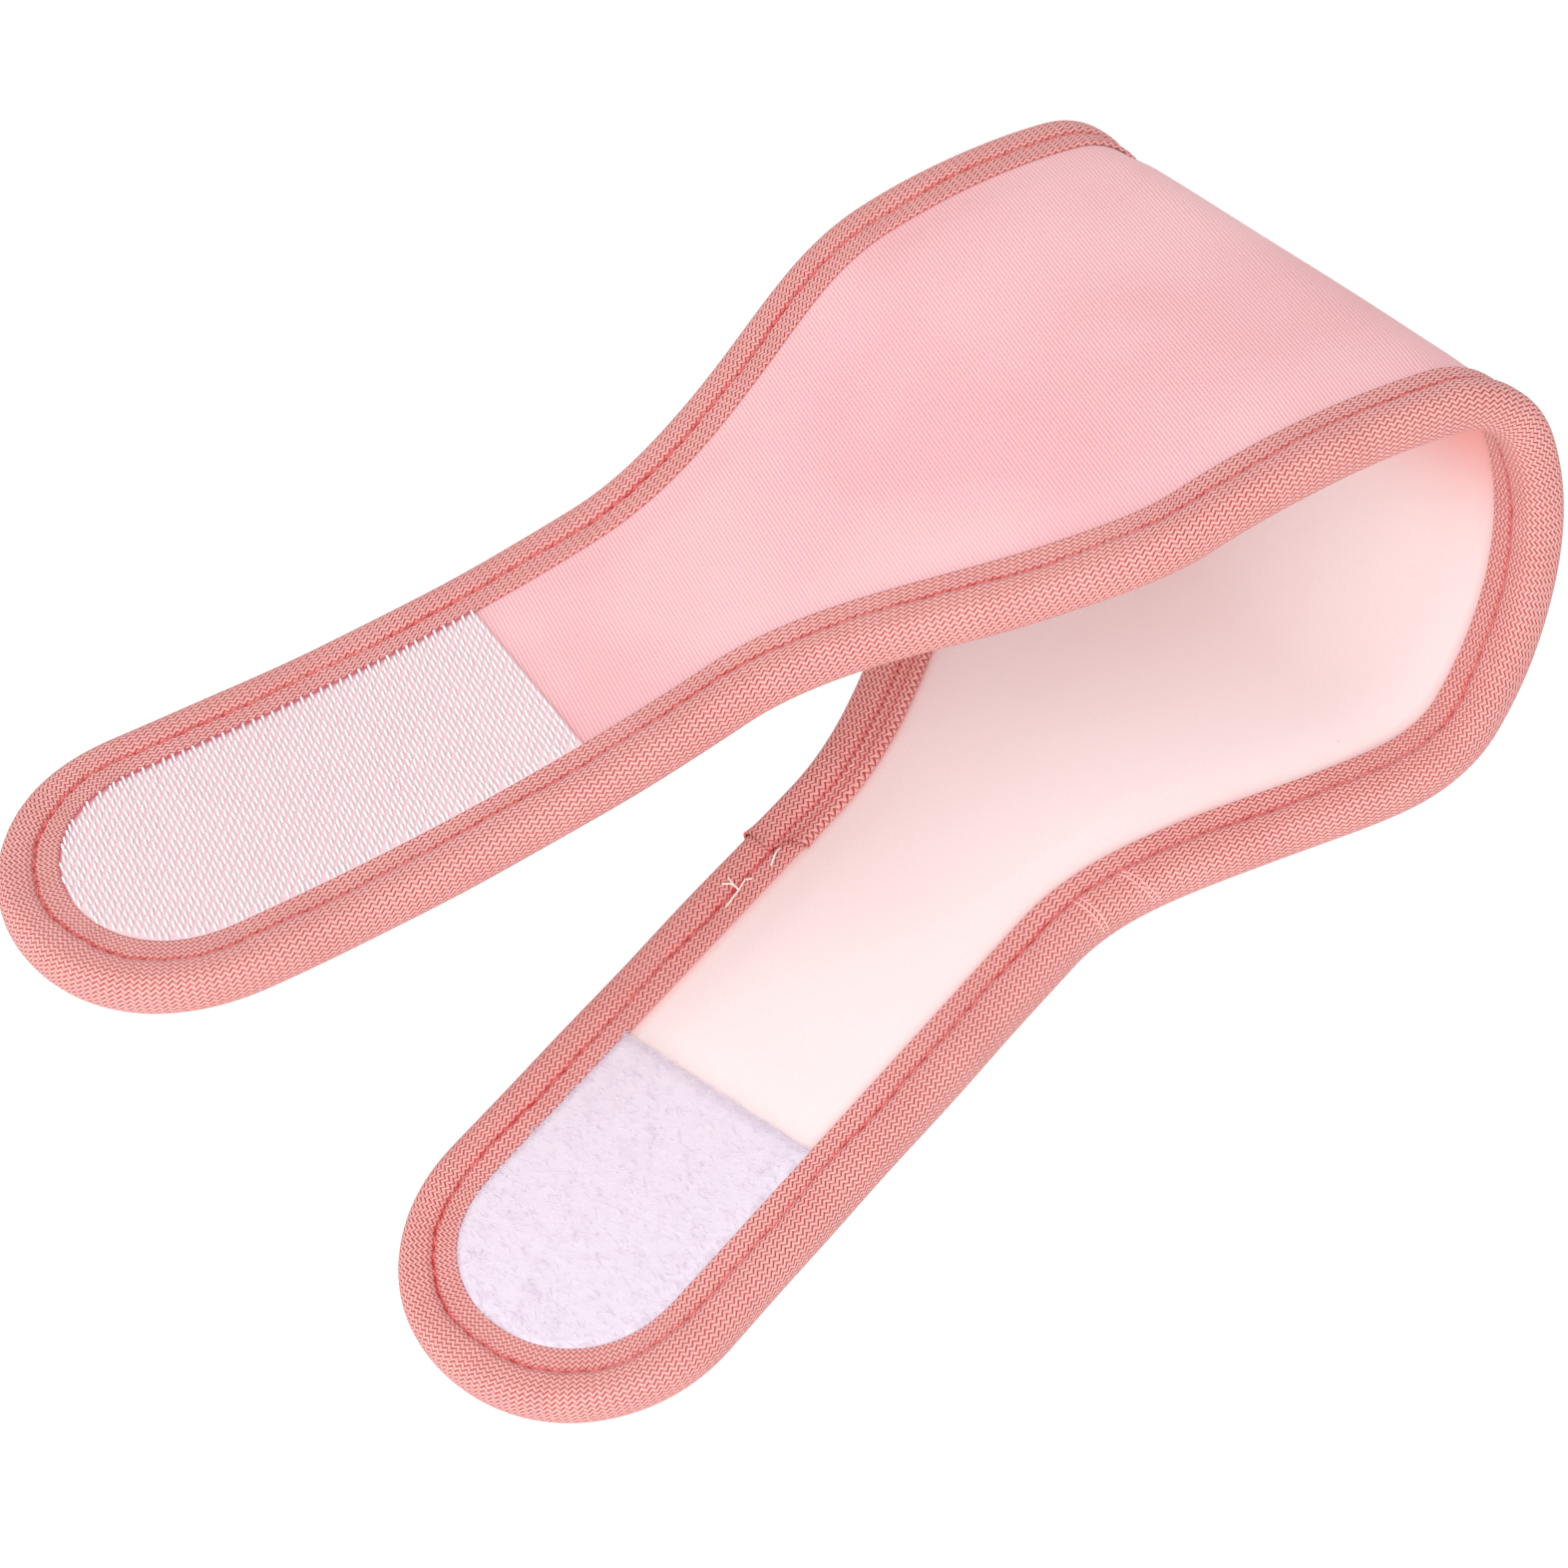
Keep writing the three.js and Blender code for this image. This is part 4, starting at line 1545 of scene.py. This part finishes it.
@dataclass
class LooseEnds:
    """Thread ends left beside the lap, and tacks across the front edge's bead.

    Each tail is four points as (run along the outline, inset, depth).
    Each tack is its run beside the groove and its run at the nose of the bead.
    """

    band: Band
    binding: Binding
    tail_radius: float = 0.00021
    tack_radius: float = 0.00013
    tack_gap: float = 0.0011
    tack_clear: float = 0.0006
    rings: int = 10
    sides: int = 6
    tails: tuple = (
        ((1.1650, 0.0092, 0.0044), (1.1668, 0.0099, 0.0051),
         (1.1682, 0.0103, 0.0049), (1.1694, 0.0108, 0.0045)),
        ((1.1738, 0.0093, 0.0041), (1.1750, 0.0086, 0.0047),
         (1.1778, 0.0092, 0.0046), (1.1820, 0.0095, 0.0042)),
        ((1.1776, 0.0092, 0.0045), (1.1775, 0.0083, 0.0050),
         (1.1773, 0.0071, 0.0053), (1.1768, 0.0058, 0.0053)),
        ((1.1775, 0.0077, 0.0051), (1.1777, 0.0071, 0.0053),
         (1.1781, 0.0065, 0.0053), (1.1787, 0.0057, 0.0053)),
    )
    tacks: tuple = ((0.1795, 0.1835), (0.1705, 0.1715))

    def lay(self, name: str, finish: str, u: np.ndarray, inset: np.ndarray, depth: np.ndarray,
            radius: float) -> None:
        """Builds threads that lie along the binding.

        Args:
            name: Name of the piece.
            finish: Key of its finish.
            u: Runs along the outline, shape (threads, rings).
            inset: Insets, same shape.
            depth: Depths, same shape.
            radius: Radius of the thread.
        """
        flat = self.band.pattern.at_edge(u, inset)
        lines = self.band.fold.place_flat(flat, depth)
        surface = Surface()
        surface.tubes(lines, self.band.upright(flat), np.full(u.shape, radius), self.sides)
        piece = surface.piece(name, MATERIALS[finish], crease=THREAD_CREASE)
        dress(piece, finish)
        self.band.bend(piece, self.band.spans[0])

    def build(self) -> None:
        """Tails follow their own points; tacks follow the binding's section."""
        knots = np.array(self.tails)
        share, at_knots = np.linspace(0, 1, self.rings), np.linspace(0, 1, knots.shape[1])
        u, inset, depth = (np.array([np.interp(share, at_knots, tail) for tail in knots[..., i]])
                           for i in range(3))
        self.lay("thread_tails", "loose_thread", u, inset, depth, self.tail_radius)
        inset, half = self.binding.half_profile()
        held = inset < self.binding.groove - self.tack_clear
        inset, half = inset[held][::-1], half[held][::-1]
        share = np.linspace(0, 1, len(inset))
        rows = np.array([(a + gap, b + gap) for a, b in self.tacks for gap in (0, self.tack_gap)])
        u = rows[:, :1] + (rows[:, 1:] - rows[:, :1]) * share
        self.lay("edge_tacks", "tack", u, np.broadcast_to(inset, u.shape), np.broadcast_to(half, u.shape),
                 self.tack_radius)


# ---- closure tapes -------------------------------------------------------------------
@dataclass
class Tape:
    """A closure tape's ground cloth, from its straight inner end round the tab's tip."""

    band: Band
    name: str
    start: float
    side: Side
    ground_finish: str
    pile_finish: str
    span_name: str
    ground: float = 0.0005
    glue_gap: float = 0.00002
    tucked: float = 0.0003
    tip_gap: float = 0.00003
    tip_crowding: float = 1.7
    nudge: float = 0.0001
    leant: float = 0.3
    step: float = 0.0012
    across: int = 40

    def span(self) -> Span:
        """The span that carries this tape."""
        return next(s for s in self.band.spans if s.name == self.span_name)

    def depth(self, height: np.ndarray | float) -> np.ndarray | float:
        """Depth of a height above the laminate."""
        return self.side.value * (self.band.channel_half + height)

    def widths(self, s: np.ndarray, inset: float) -> tuple[np.ndarray, np.ndarray]:
        """Back and front limits of v at places along the band, inside an inset outline."""
        edges = self.band.chains(inset, folded=False)
        return np.interp(s, *edges[Edge.BACK]), np.interp(s, *edges[Edge.FRONT])

    def inside(self, s: np.ndarray, v: np.ndarray, inset: float) -> np.ndarray:
        """Which points lie on the tape, at least an inset inside the outline.

        Args:
            s: Places along the band.
            v: Places across it.
            inset: The inset.

        Returns:
            True for each point on the tape.
        """
        back, front = self.widths(s, inset)
        end = self.band.pattern.length / 2 - inset
        return (v < back) & (v > front) & (np.abs(s) < end) & (s * np.sign(self.start) > abs(self.start))

    def relief(self, s: np.ndarray, v: np.ndarray) -> np.ndarray:
        """Height of the ground cloth; a plain tape is level."""
        return np.full_like(s, self.ground)

    def shadowed(self, s: np.ndarray, v: np.ndarray) -> np.ndarray:
        """How strongly the ground cloth takes its painted shadow; a plain tape has none."""
        return np.zeros_like(s)

    def make_ground(self, nodes: tuple[str, ...]) -> None:
        """Builds the ground cloth as a thin closed slab, with its sides tucked under the binding.

        Stations crowd towards the tip as a power of the share left, and columns crowd
        towards both sides as a cosine.

        Args:
            nodes: Names of the frame nodes that it stands for.
        """
        inset = self.band.binding_width - self.tucked
        direction = np.sign(self.start)
        tip = self.band.pattern.length / 2 - inset - self.tip_gap
        count = int((tip - abs(self.start)) / self.step) + 2
        share = 1 - (1 - np.linspace(0, 1, count)) ** self.tip_crowding
        s = direction * (abs(self.start) + (tip - abs(self.start)) * share)
        back, front = self.widths(s, inset)
        columns = 0.5 - 0.5 * np.cos(np.pi * np.linspace(0, 1, self.across))
        v = back[:, None] + (front - back)[:, None] * columns
        s = np.broadcast_to(s[:, None], v.shape)
        flat = np.stack([s, v], -1)
        under = self.side.value * (self.band.panel_half + self.glue_gap)
        base = self.band.fold.place_flat(flat, np.full(s.shape, under))
        top = self.band.fold.place_flat(flat, self.depth(self.relief(s, v)))
        # Painted shadow beside the binding; none for a plain tape.
        marks = self.shadowed(s, v)
        surface = Surface()
        surface.slab(base, top, flat, (marks, marks))
        piece = surface.piece(f"{self.name}_ground", MATERIALS[self.ground_finish])
        dress(piece, self.ground_finish, *nodes)
        self.band.bend(piece, self.span())

    def fibres(self, name: str, flat: np.ndarray, height: np.ndarray, radii: np.ndarray, sides: int) -> None:
        """Builds hooks or pile from centrelines in the pattern.

        The direction across every centreline is that along the band, leant a little away
        from the cloth.

        Args:
            name: Name of the piece.
            flat: Shape (fibres, rings, 2).
            height: Height above the laminate, shape (fibres, rings).
            radii: Same shape as height.
            sides: Corners of each ring.
        """
        lines = self.band.fold.place_flat(flat, self.depth(height))
        ahead = self.band.fold.place_flat(flat + (self.nudge, 0), self.depth(height))
        normals = unit(ahead - lines) + self.leant * self.band.upright(flat)
        surface = Surface()
        surface.tubes(lines, normals, radii, sides)
        piece = surface.piece(name, MATERIALS[self.pile_finish], crease=THREAD_CREASE)
        dress(piece, self.pile_finish)
        self.band.bend(piece, self.span())


@dataclass
class HookTape(Tape):
    """Stiff hooks in staggered columns across the tape."""

    column: float = 0.001078
    pitch: float = 0.00256
    thick: float = 0.00029
    hook_height: float = 0.00062
    hook_length: float = 0.0021
    clear_share: float = 0.44
    lean: float = -0.17
    lean_spread: float = 0.05
    stray_along: float = 0.00008
    stray_aside: float = 0.00005
    shares: tuple[float, ...] = (0.0, 0.12, 0.35, 0.62, 0.85, 1.0)
    thicknesses: tuple[float, ...] = (0.55, 0.8, 1.0, 1.0, 0.8, 0.4)
    curl_share: float = 0.93
    root_share: float = 0.6
    lengths: tuple[float, float] = (0.9, 1.1)
    heights: tuple[float, float] = (0.92, 1.08)
    sides: int = 5
    # Painted shadow of the hooks in the gaps beside the back binding.
    gap_shadow: float = 0.95
    gap_half: float = 0.0011

    def shadowed(self, s: np.ndarray, v: np.ndarray) -> np.ndarray:
        """Painted shadow in the gaps between the last hooks and the binding on the back side, as a bell
        curve.
        """
        back, _ = self.widths(s[:, 0], self.band.binding_width)
        return self.gap_shadow * np.exp(-((np.maximum(back[:, None] - v, 0) / self.gap_half) ** 2))

    def build(self) -> None:
        """Each hook stands up, turns over and points down again, along the column.

        Its line is a half wave: it goes along by the hook's length while its height is
        the square root of a sine of the share of the way.  A hook that would run under
        the binding is drawn back until it ends beside it.
        """
        self.make_ground(("hook_tape",))
        rng = np.random.default_rng(SEED)
        s = np.arange(self.start + self.column / 2, self.band.pattern.length / 2, self.column)
        v = np.arange(-self.band.pattern.tab_half, self.band.pattern.tab_half, self.pitch)
        grid_s, grid_v = np.meshgrid(s, v, indexing="ij")
        stagger = (np.arange(len(s)) % 2)[:, None] * self.pitch / 2
        grid_v = grid_v + stagger + rng.normal(0, self.stray_along, grid_v.shape)
        grid_s = grid_s + rng.normal(0, self.stray_aside, grid_s.shape)
        half = self.hook_length * self.clear_share
        held = self.inside(grid_s, grid_v, self.band.binding_width)
        root = np.stack([grid_s[held], grid_v[held]], -1)
        back, front = self.widths(root[:, 0], self.band.binding_width)
        root[:, 1] = np.clip(root[:, 1], front + half, back - half)
        root = root[back - front > 2 * half]
        share = np.array(self.shares)
        lean = rng.normal(self.lean, self.lean_spread, len(root))[:, None]
        length = self.hook_length * rng.uniform(*self.lengths, len(root))[:, None]
        ahead = length * (share - 0.5)
        flat = root[:, None, :] + np.stack([lean * ahead, ahead], -1)
        rise = np.sqrt(np.sin(np.pi * share * self.curl_share))
        tall = self.hook_height * rng.uniform(*self.heights, len(root))[:, None]
        height = self.ground * self.root_share + tall * rise
        radii = np.broadcast_to(self.thick * np.array(self.thicknesses), height.shape)
        self.fibres("hook_tape_hooks", flat, height, radii, self.sides)


@dataclass(frozen=True)
class Pile:
    """One kind of loop: how many there are, and how thick, tall and long they are."""

    name: str
    count: int
    thick: float
    tall: float
    long: float


@dataclass
class LoopTape(Tape):
    """Brushed loop pile, combed one way, that hides its ground cloth."""

    piles: tuple[Pile, ...] = (Pile("loop_tape_pile", 4200, 0.000055, 0.00022, 0.0016),
                               Pile("loop_tape_flyaways", 520, 0.0000605, 0.0006, 0.0026))
    row: float = 0.0059
    row_spread: float = 0.0009
    in_rows: float = 0.3
    comb: float = math.radians(-83)
    comb_spread: float = 0.45
    curl: float = 0.35
    lengths: tuple[float, float] = (0.5, 1.3)
    heights: tuple[float, float] = (0.4, 1.2)
    tries: int = 3
    tips: tuple[float, ...] = (0.6, 1, 1, 1, 1, 1, 0.6)
    sides: int = 3
    edge_height: float = 0.00015
    mat_height: float = 0.00078
    mat_wave: float = 0.00004
    mat_tucked: float = 0.0004
    rim: float = 0.0022
    rim_gap: float = 0.0002
    root_height: float = 0.00082
    root_tucked: float = 0.0002
    past_start: float = 0.0010

    def relief(self, s: np.ndarray, v: np.ndarray) -> np.ndarray:
        """Height of the matted pile: a sum of two sines, eased down to the tape's edge.

        Args:
            s: Places along the band.
            v: Places across it.

        Returns:
            The height above the laminate.
        """
        back, front = self.widths(s[:, 0], self.band.binding_width - self.mat_tucked)
        side = np.minimum(back[:, None] - v, v - front[:, None])
        tip = self.band.pattern.length / 2 - self.band.binding_width - np.abs(s)
        nearest = np.minimum(np.minimum(side, tip), np.abs(s) - abs(self.start))
        rim = ease((nearest + self.rim_gap) / self.rim)
        waves = np.sin(2 * np.pi * (s + abs(self.start)) / self.row) + 0.5 * np.sin(s * 260 - v * 410)
        return self.edge_height + rim * (self.mat_height + self.mat_wave * waves)

    def build(self) -> None:
        """Loops are arches: along by their own length, up by a sine of the share passed."""
        self.make_ground(("loop_tape",))
        rng = np.random.default_rng(SEED + 1)
        share = np.linspace(0, 1, len(self.tips))
        for pile in self.piles:
            tries = pile.count * self.tries
            s = rng.uniform(abs(self.start) - self.past_start, self.band.pattern.length / 2, tries)
            in_row = self.start + self.row * np.round((s + self.start) / self.row)
            loose = rng.uniform(0, 1, tries) < 1 - self.in_rows
            s = -np.where(loose, s, -in_row + rng.normal(0, self.row_spread, tries))
            v = rng.uniform(-self.band.pattern.tab_half, self.band.pattern.tab_half, tries)
            held = self.inside(s, v, self.band.binding_width - self.root_tucked)
            held = np.flatnonzero(held)[:pile.count]
            root = np.stack([s[held], v[held]], -1)
            turn = (self.comb + rng.normal(0, self.comb_spread, len(root)))[:, None]
            length = (pile.long * rng.uniform(*self.lengths, len(root)))[:, None]
            curl = (rng.normal(0, self.curl, len(root)))[:, None] * (share - share**2) * length
            ahead = length * (share - 0.5)
            flat = root[:, None, :] + np.stack(
                [np.cos(turn) * ahead - np.sin(turn) * curl, np.sin(turn) * ahead + np.cos(turn) * curl], -1)
            top = (pile.tall * rng.uniform(*self.heights, len(root)))[:, None]
            height = self.root_height + top * np.sin(np.pi * share)
            radii = np.broadcast_to(pile.thick * np.array(self.tips), height.shape)
            self.fibres(pile.name, flat, height, radii, self.sides)


# ---- studio ---------------------------------------------------------------------------
def turned_to(axes: tuple[np.ndarray, ...]) -> Matrix:
    """Rotation whose columns are three axes."""
    return Matrix(np.stack(axes, -1).tolist())


@dataclass(frozen=True)
class Lamp:
    """A square area light that looks at the middle of the band."""

    name: str
    place: tuple[float, float, float]
    size: float
    watts: float


@dataclass
class Studio:
    """Pale floor, soft lights and the camera."""

    azimuth: float = math.radians(-33.61)
    elevation: float = math.radians(50.765)
    roll: float = math.radians(-19.112)
    distance: float = 0.88148
    target: tuple[float, float, float] = (-0.0104, 0.006998, 0.020)
    lens: float = 100.3
    sensor: float = 36.0
    floor_half: float = 14.0
    floor_level: float = -0.060
    floor_shade: float = 0.16
    floor_glow: float = 0.90
    sky: float = 0.74
    lamps: tuple[Lamp, ...] = (Lamp("front", (-0.53, -0.79, 1.16), 1.0, 9.0),
                               Lamp("key", (-0.9, 0.5, 1.5), 0.9, 7.0),
                               Lamp("fill", (-1.05, -0.50, 0.32), 0.5, 4.0))

    def camera(self) -> None:
        """Camera on a line of sight through the target, rolled about it."""
        az, el = self.azimuth, self.elevation
        back = np.array([math.sin(az) * math.cos(el), -math.cos(az) * math.cos(el), math.sin(el)])
        right = np.array([math.cos(az), math.sin(az), 0])
        up = np.cross(back, right)
        cos, sin = math.cos(self.roll), math.sin(self.roll)
        turned = turned_to((right * cos + up * sin, up * cos - right * sin, back)).to_4x4()
        turned.translation = (np.array(self.target) + back * self.distance).tolist()
        data = bpy.data.cameras.new("camera")
        data.lens = self.lens
        data.sensor_width = self.sensor
        made = bpy.data.objects.new("camera", data)
        bpy.context.collection.objects.link(made)
        made.matrix_world = turned
        bpy.context.scene.camera = made

    def floor(self) -> None:
        """Wide matt floor, far enough down to clear the lower tab when it bends down."""
        h, z = self.floor_half, self.floor_level
        mesh = bpy.data.meshes.new("floor")
        mesh.from_pydata([(-h, -h, z), (h, -h, z), (h, h, z), (-h, h, z)], [], [(0, 1, 2, 3)])
        made = bpy.data.objects.new("floor", mesh)
        bpy.context.collection.objects.link(made)
        material = bpy.data.materials.new("floor_white")
        material.use_nodes = True
        shader = material.node_tree.nodes["Principled BSDF"]
        shader.inputs["Base Color"].default_value = (*[self.floor_shade] * 3, 1)
        shader.inputs["Roughness"].default_value = 1.0
        shader.inputs["Specular IOR Level"].default_value = 0.0
        shader.inputs["Emission Color"].default_value = (1, 1, 1, 1)
        shader.inputs["Emission Strength"].default_value = self.floor_glow
        mesh.materials.append(material)

    def light(self, lamp: Lamp) -> None:
        """Hangs one lamp and turns it to the middle of the band.

        Args:
            lamp: The lamp.
        """
        data = bpy.data.lights.new(lamp.name, "AREA")
        data.size = lamp.size
        data.energy = lamp.watts
        made = bpy.data.objects.new(lamp.name, data)
        bpy.context.collection.objects.link(made)
        made.location = lamp.place
        away = unit(np.array(lamp.place))
        side = unit(np.cross([0, 1, 0.01], away))
        made.rotation_euler = turned_to((side, np.cross(away, side), away)).to_euler()

    def build(self) -> None:
        """Everything that isn't the band."""
        self.camera()
        self.floor()
        world = bpy.data.worlds.new("soft_white")
        world.use_nodes = True
        background = world.node_tree.nodes["Background"]
        background.inputs["Color"].default_value = (1, 1, 1, 1)
        background.inputs["Strength"].default_value = self.sky
        bpy.context.scene.world = world
        for lamp in self.lamps:
            self.light(lamp)
        bpy.context.scene.view_settings.view_transform = "Standard"


def main() -> None:
    """Builds the headband, part by part."""
    logging.basicConfig(level=logging.INFO, format="%(message)s")
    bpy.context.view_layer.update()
    Studio().build()
    band = Band()
    Laminate(band).build()
    binding = Binding(band)
    binding.build()
    Seam(band, binding).build()
    Lap(band, binding).build()
    LooseEnds(band, binding).build()
    HookTape(band, "hook_tape", band.hook_tape_start, Side.FACE, "hook_ground", "hook", "hook_end").build()
    LoopTape(band, "loop_tape", -band.loop_tape_start, Side.LINING, "loop_ground", "loop", "loop_end").build()


if __name__ == "__main__":
    main()
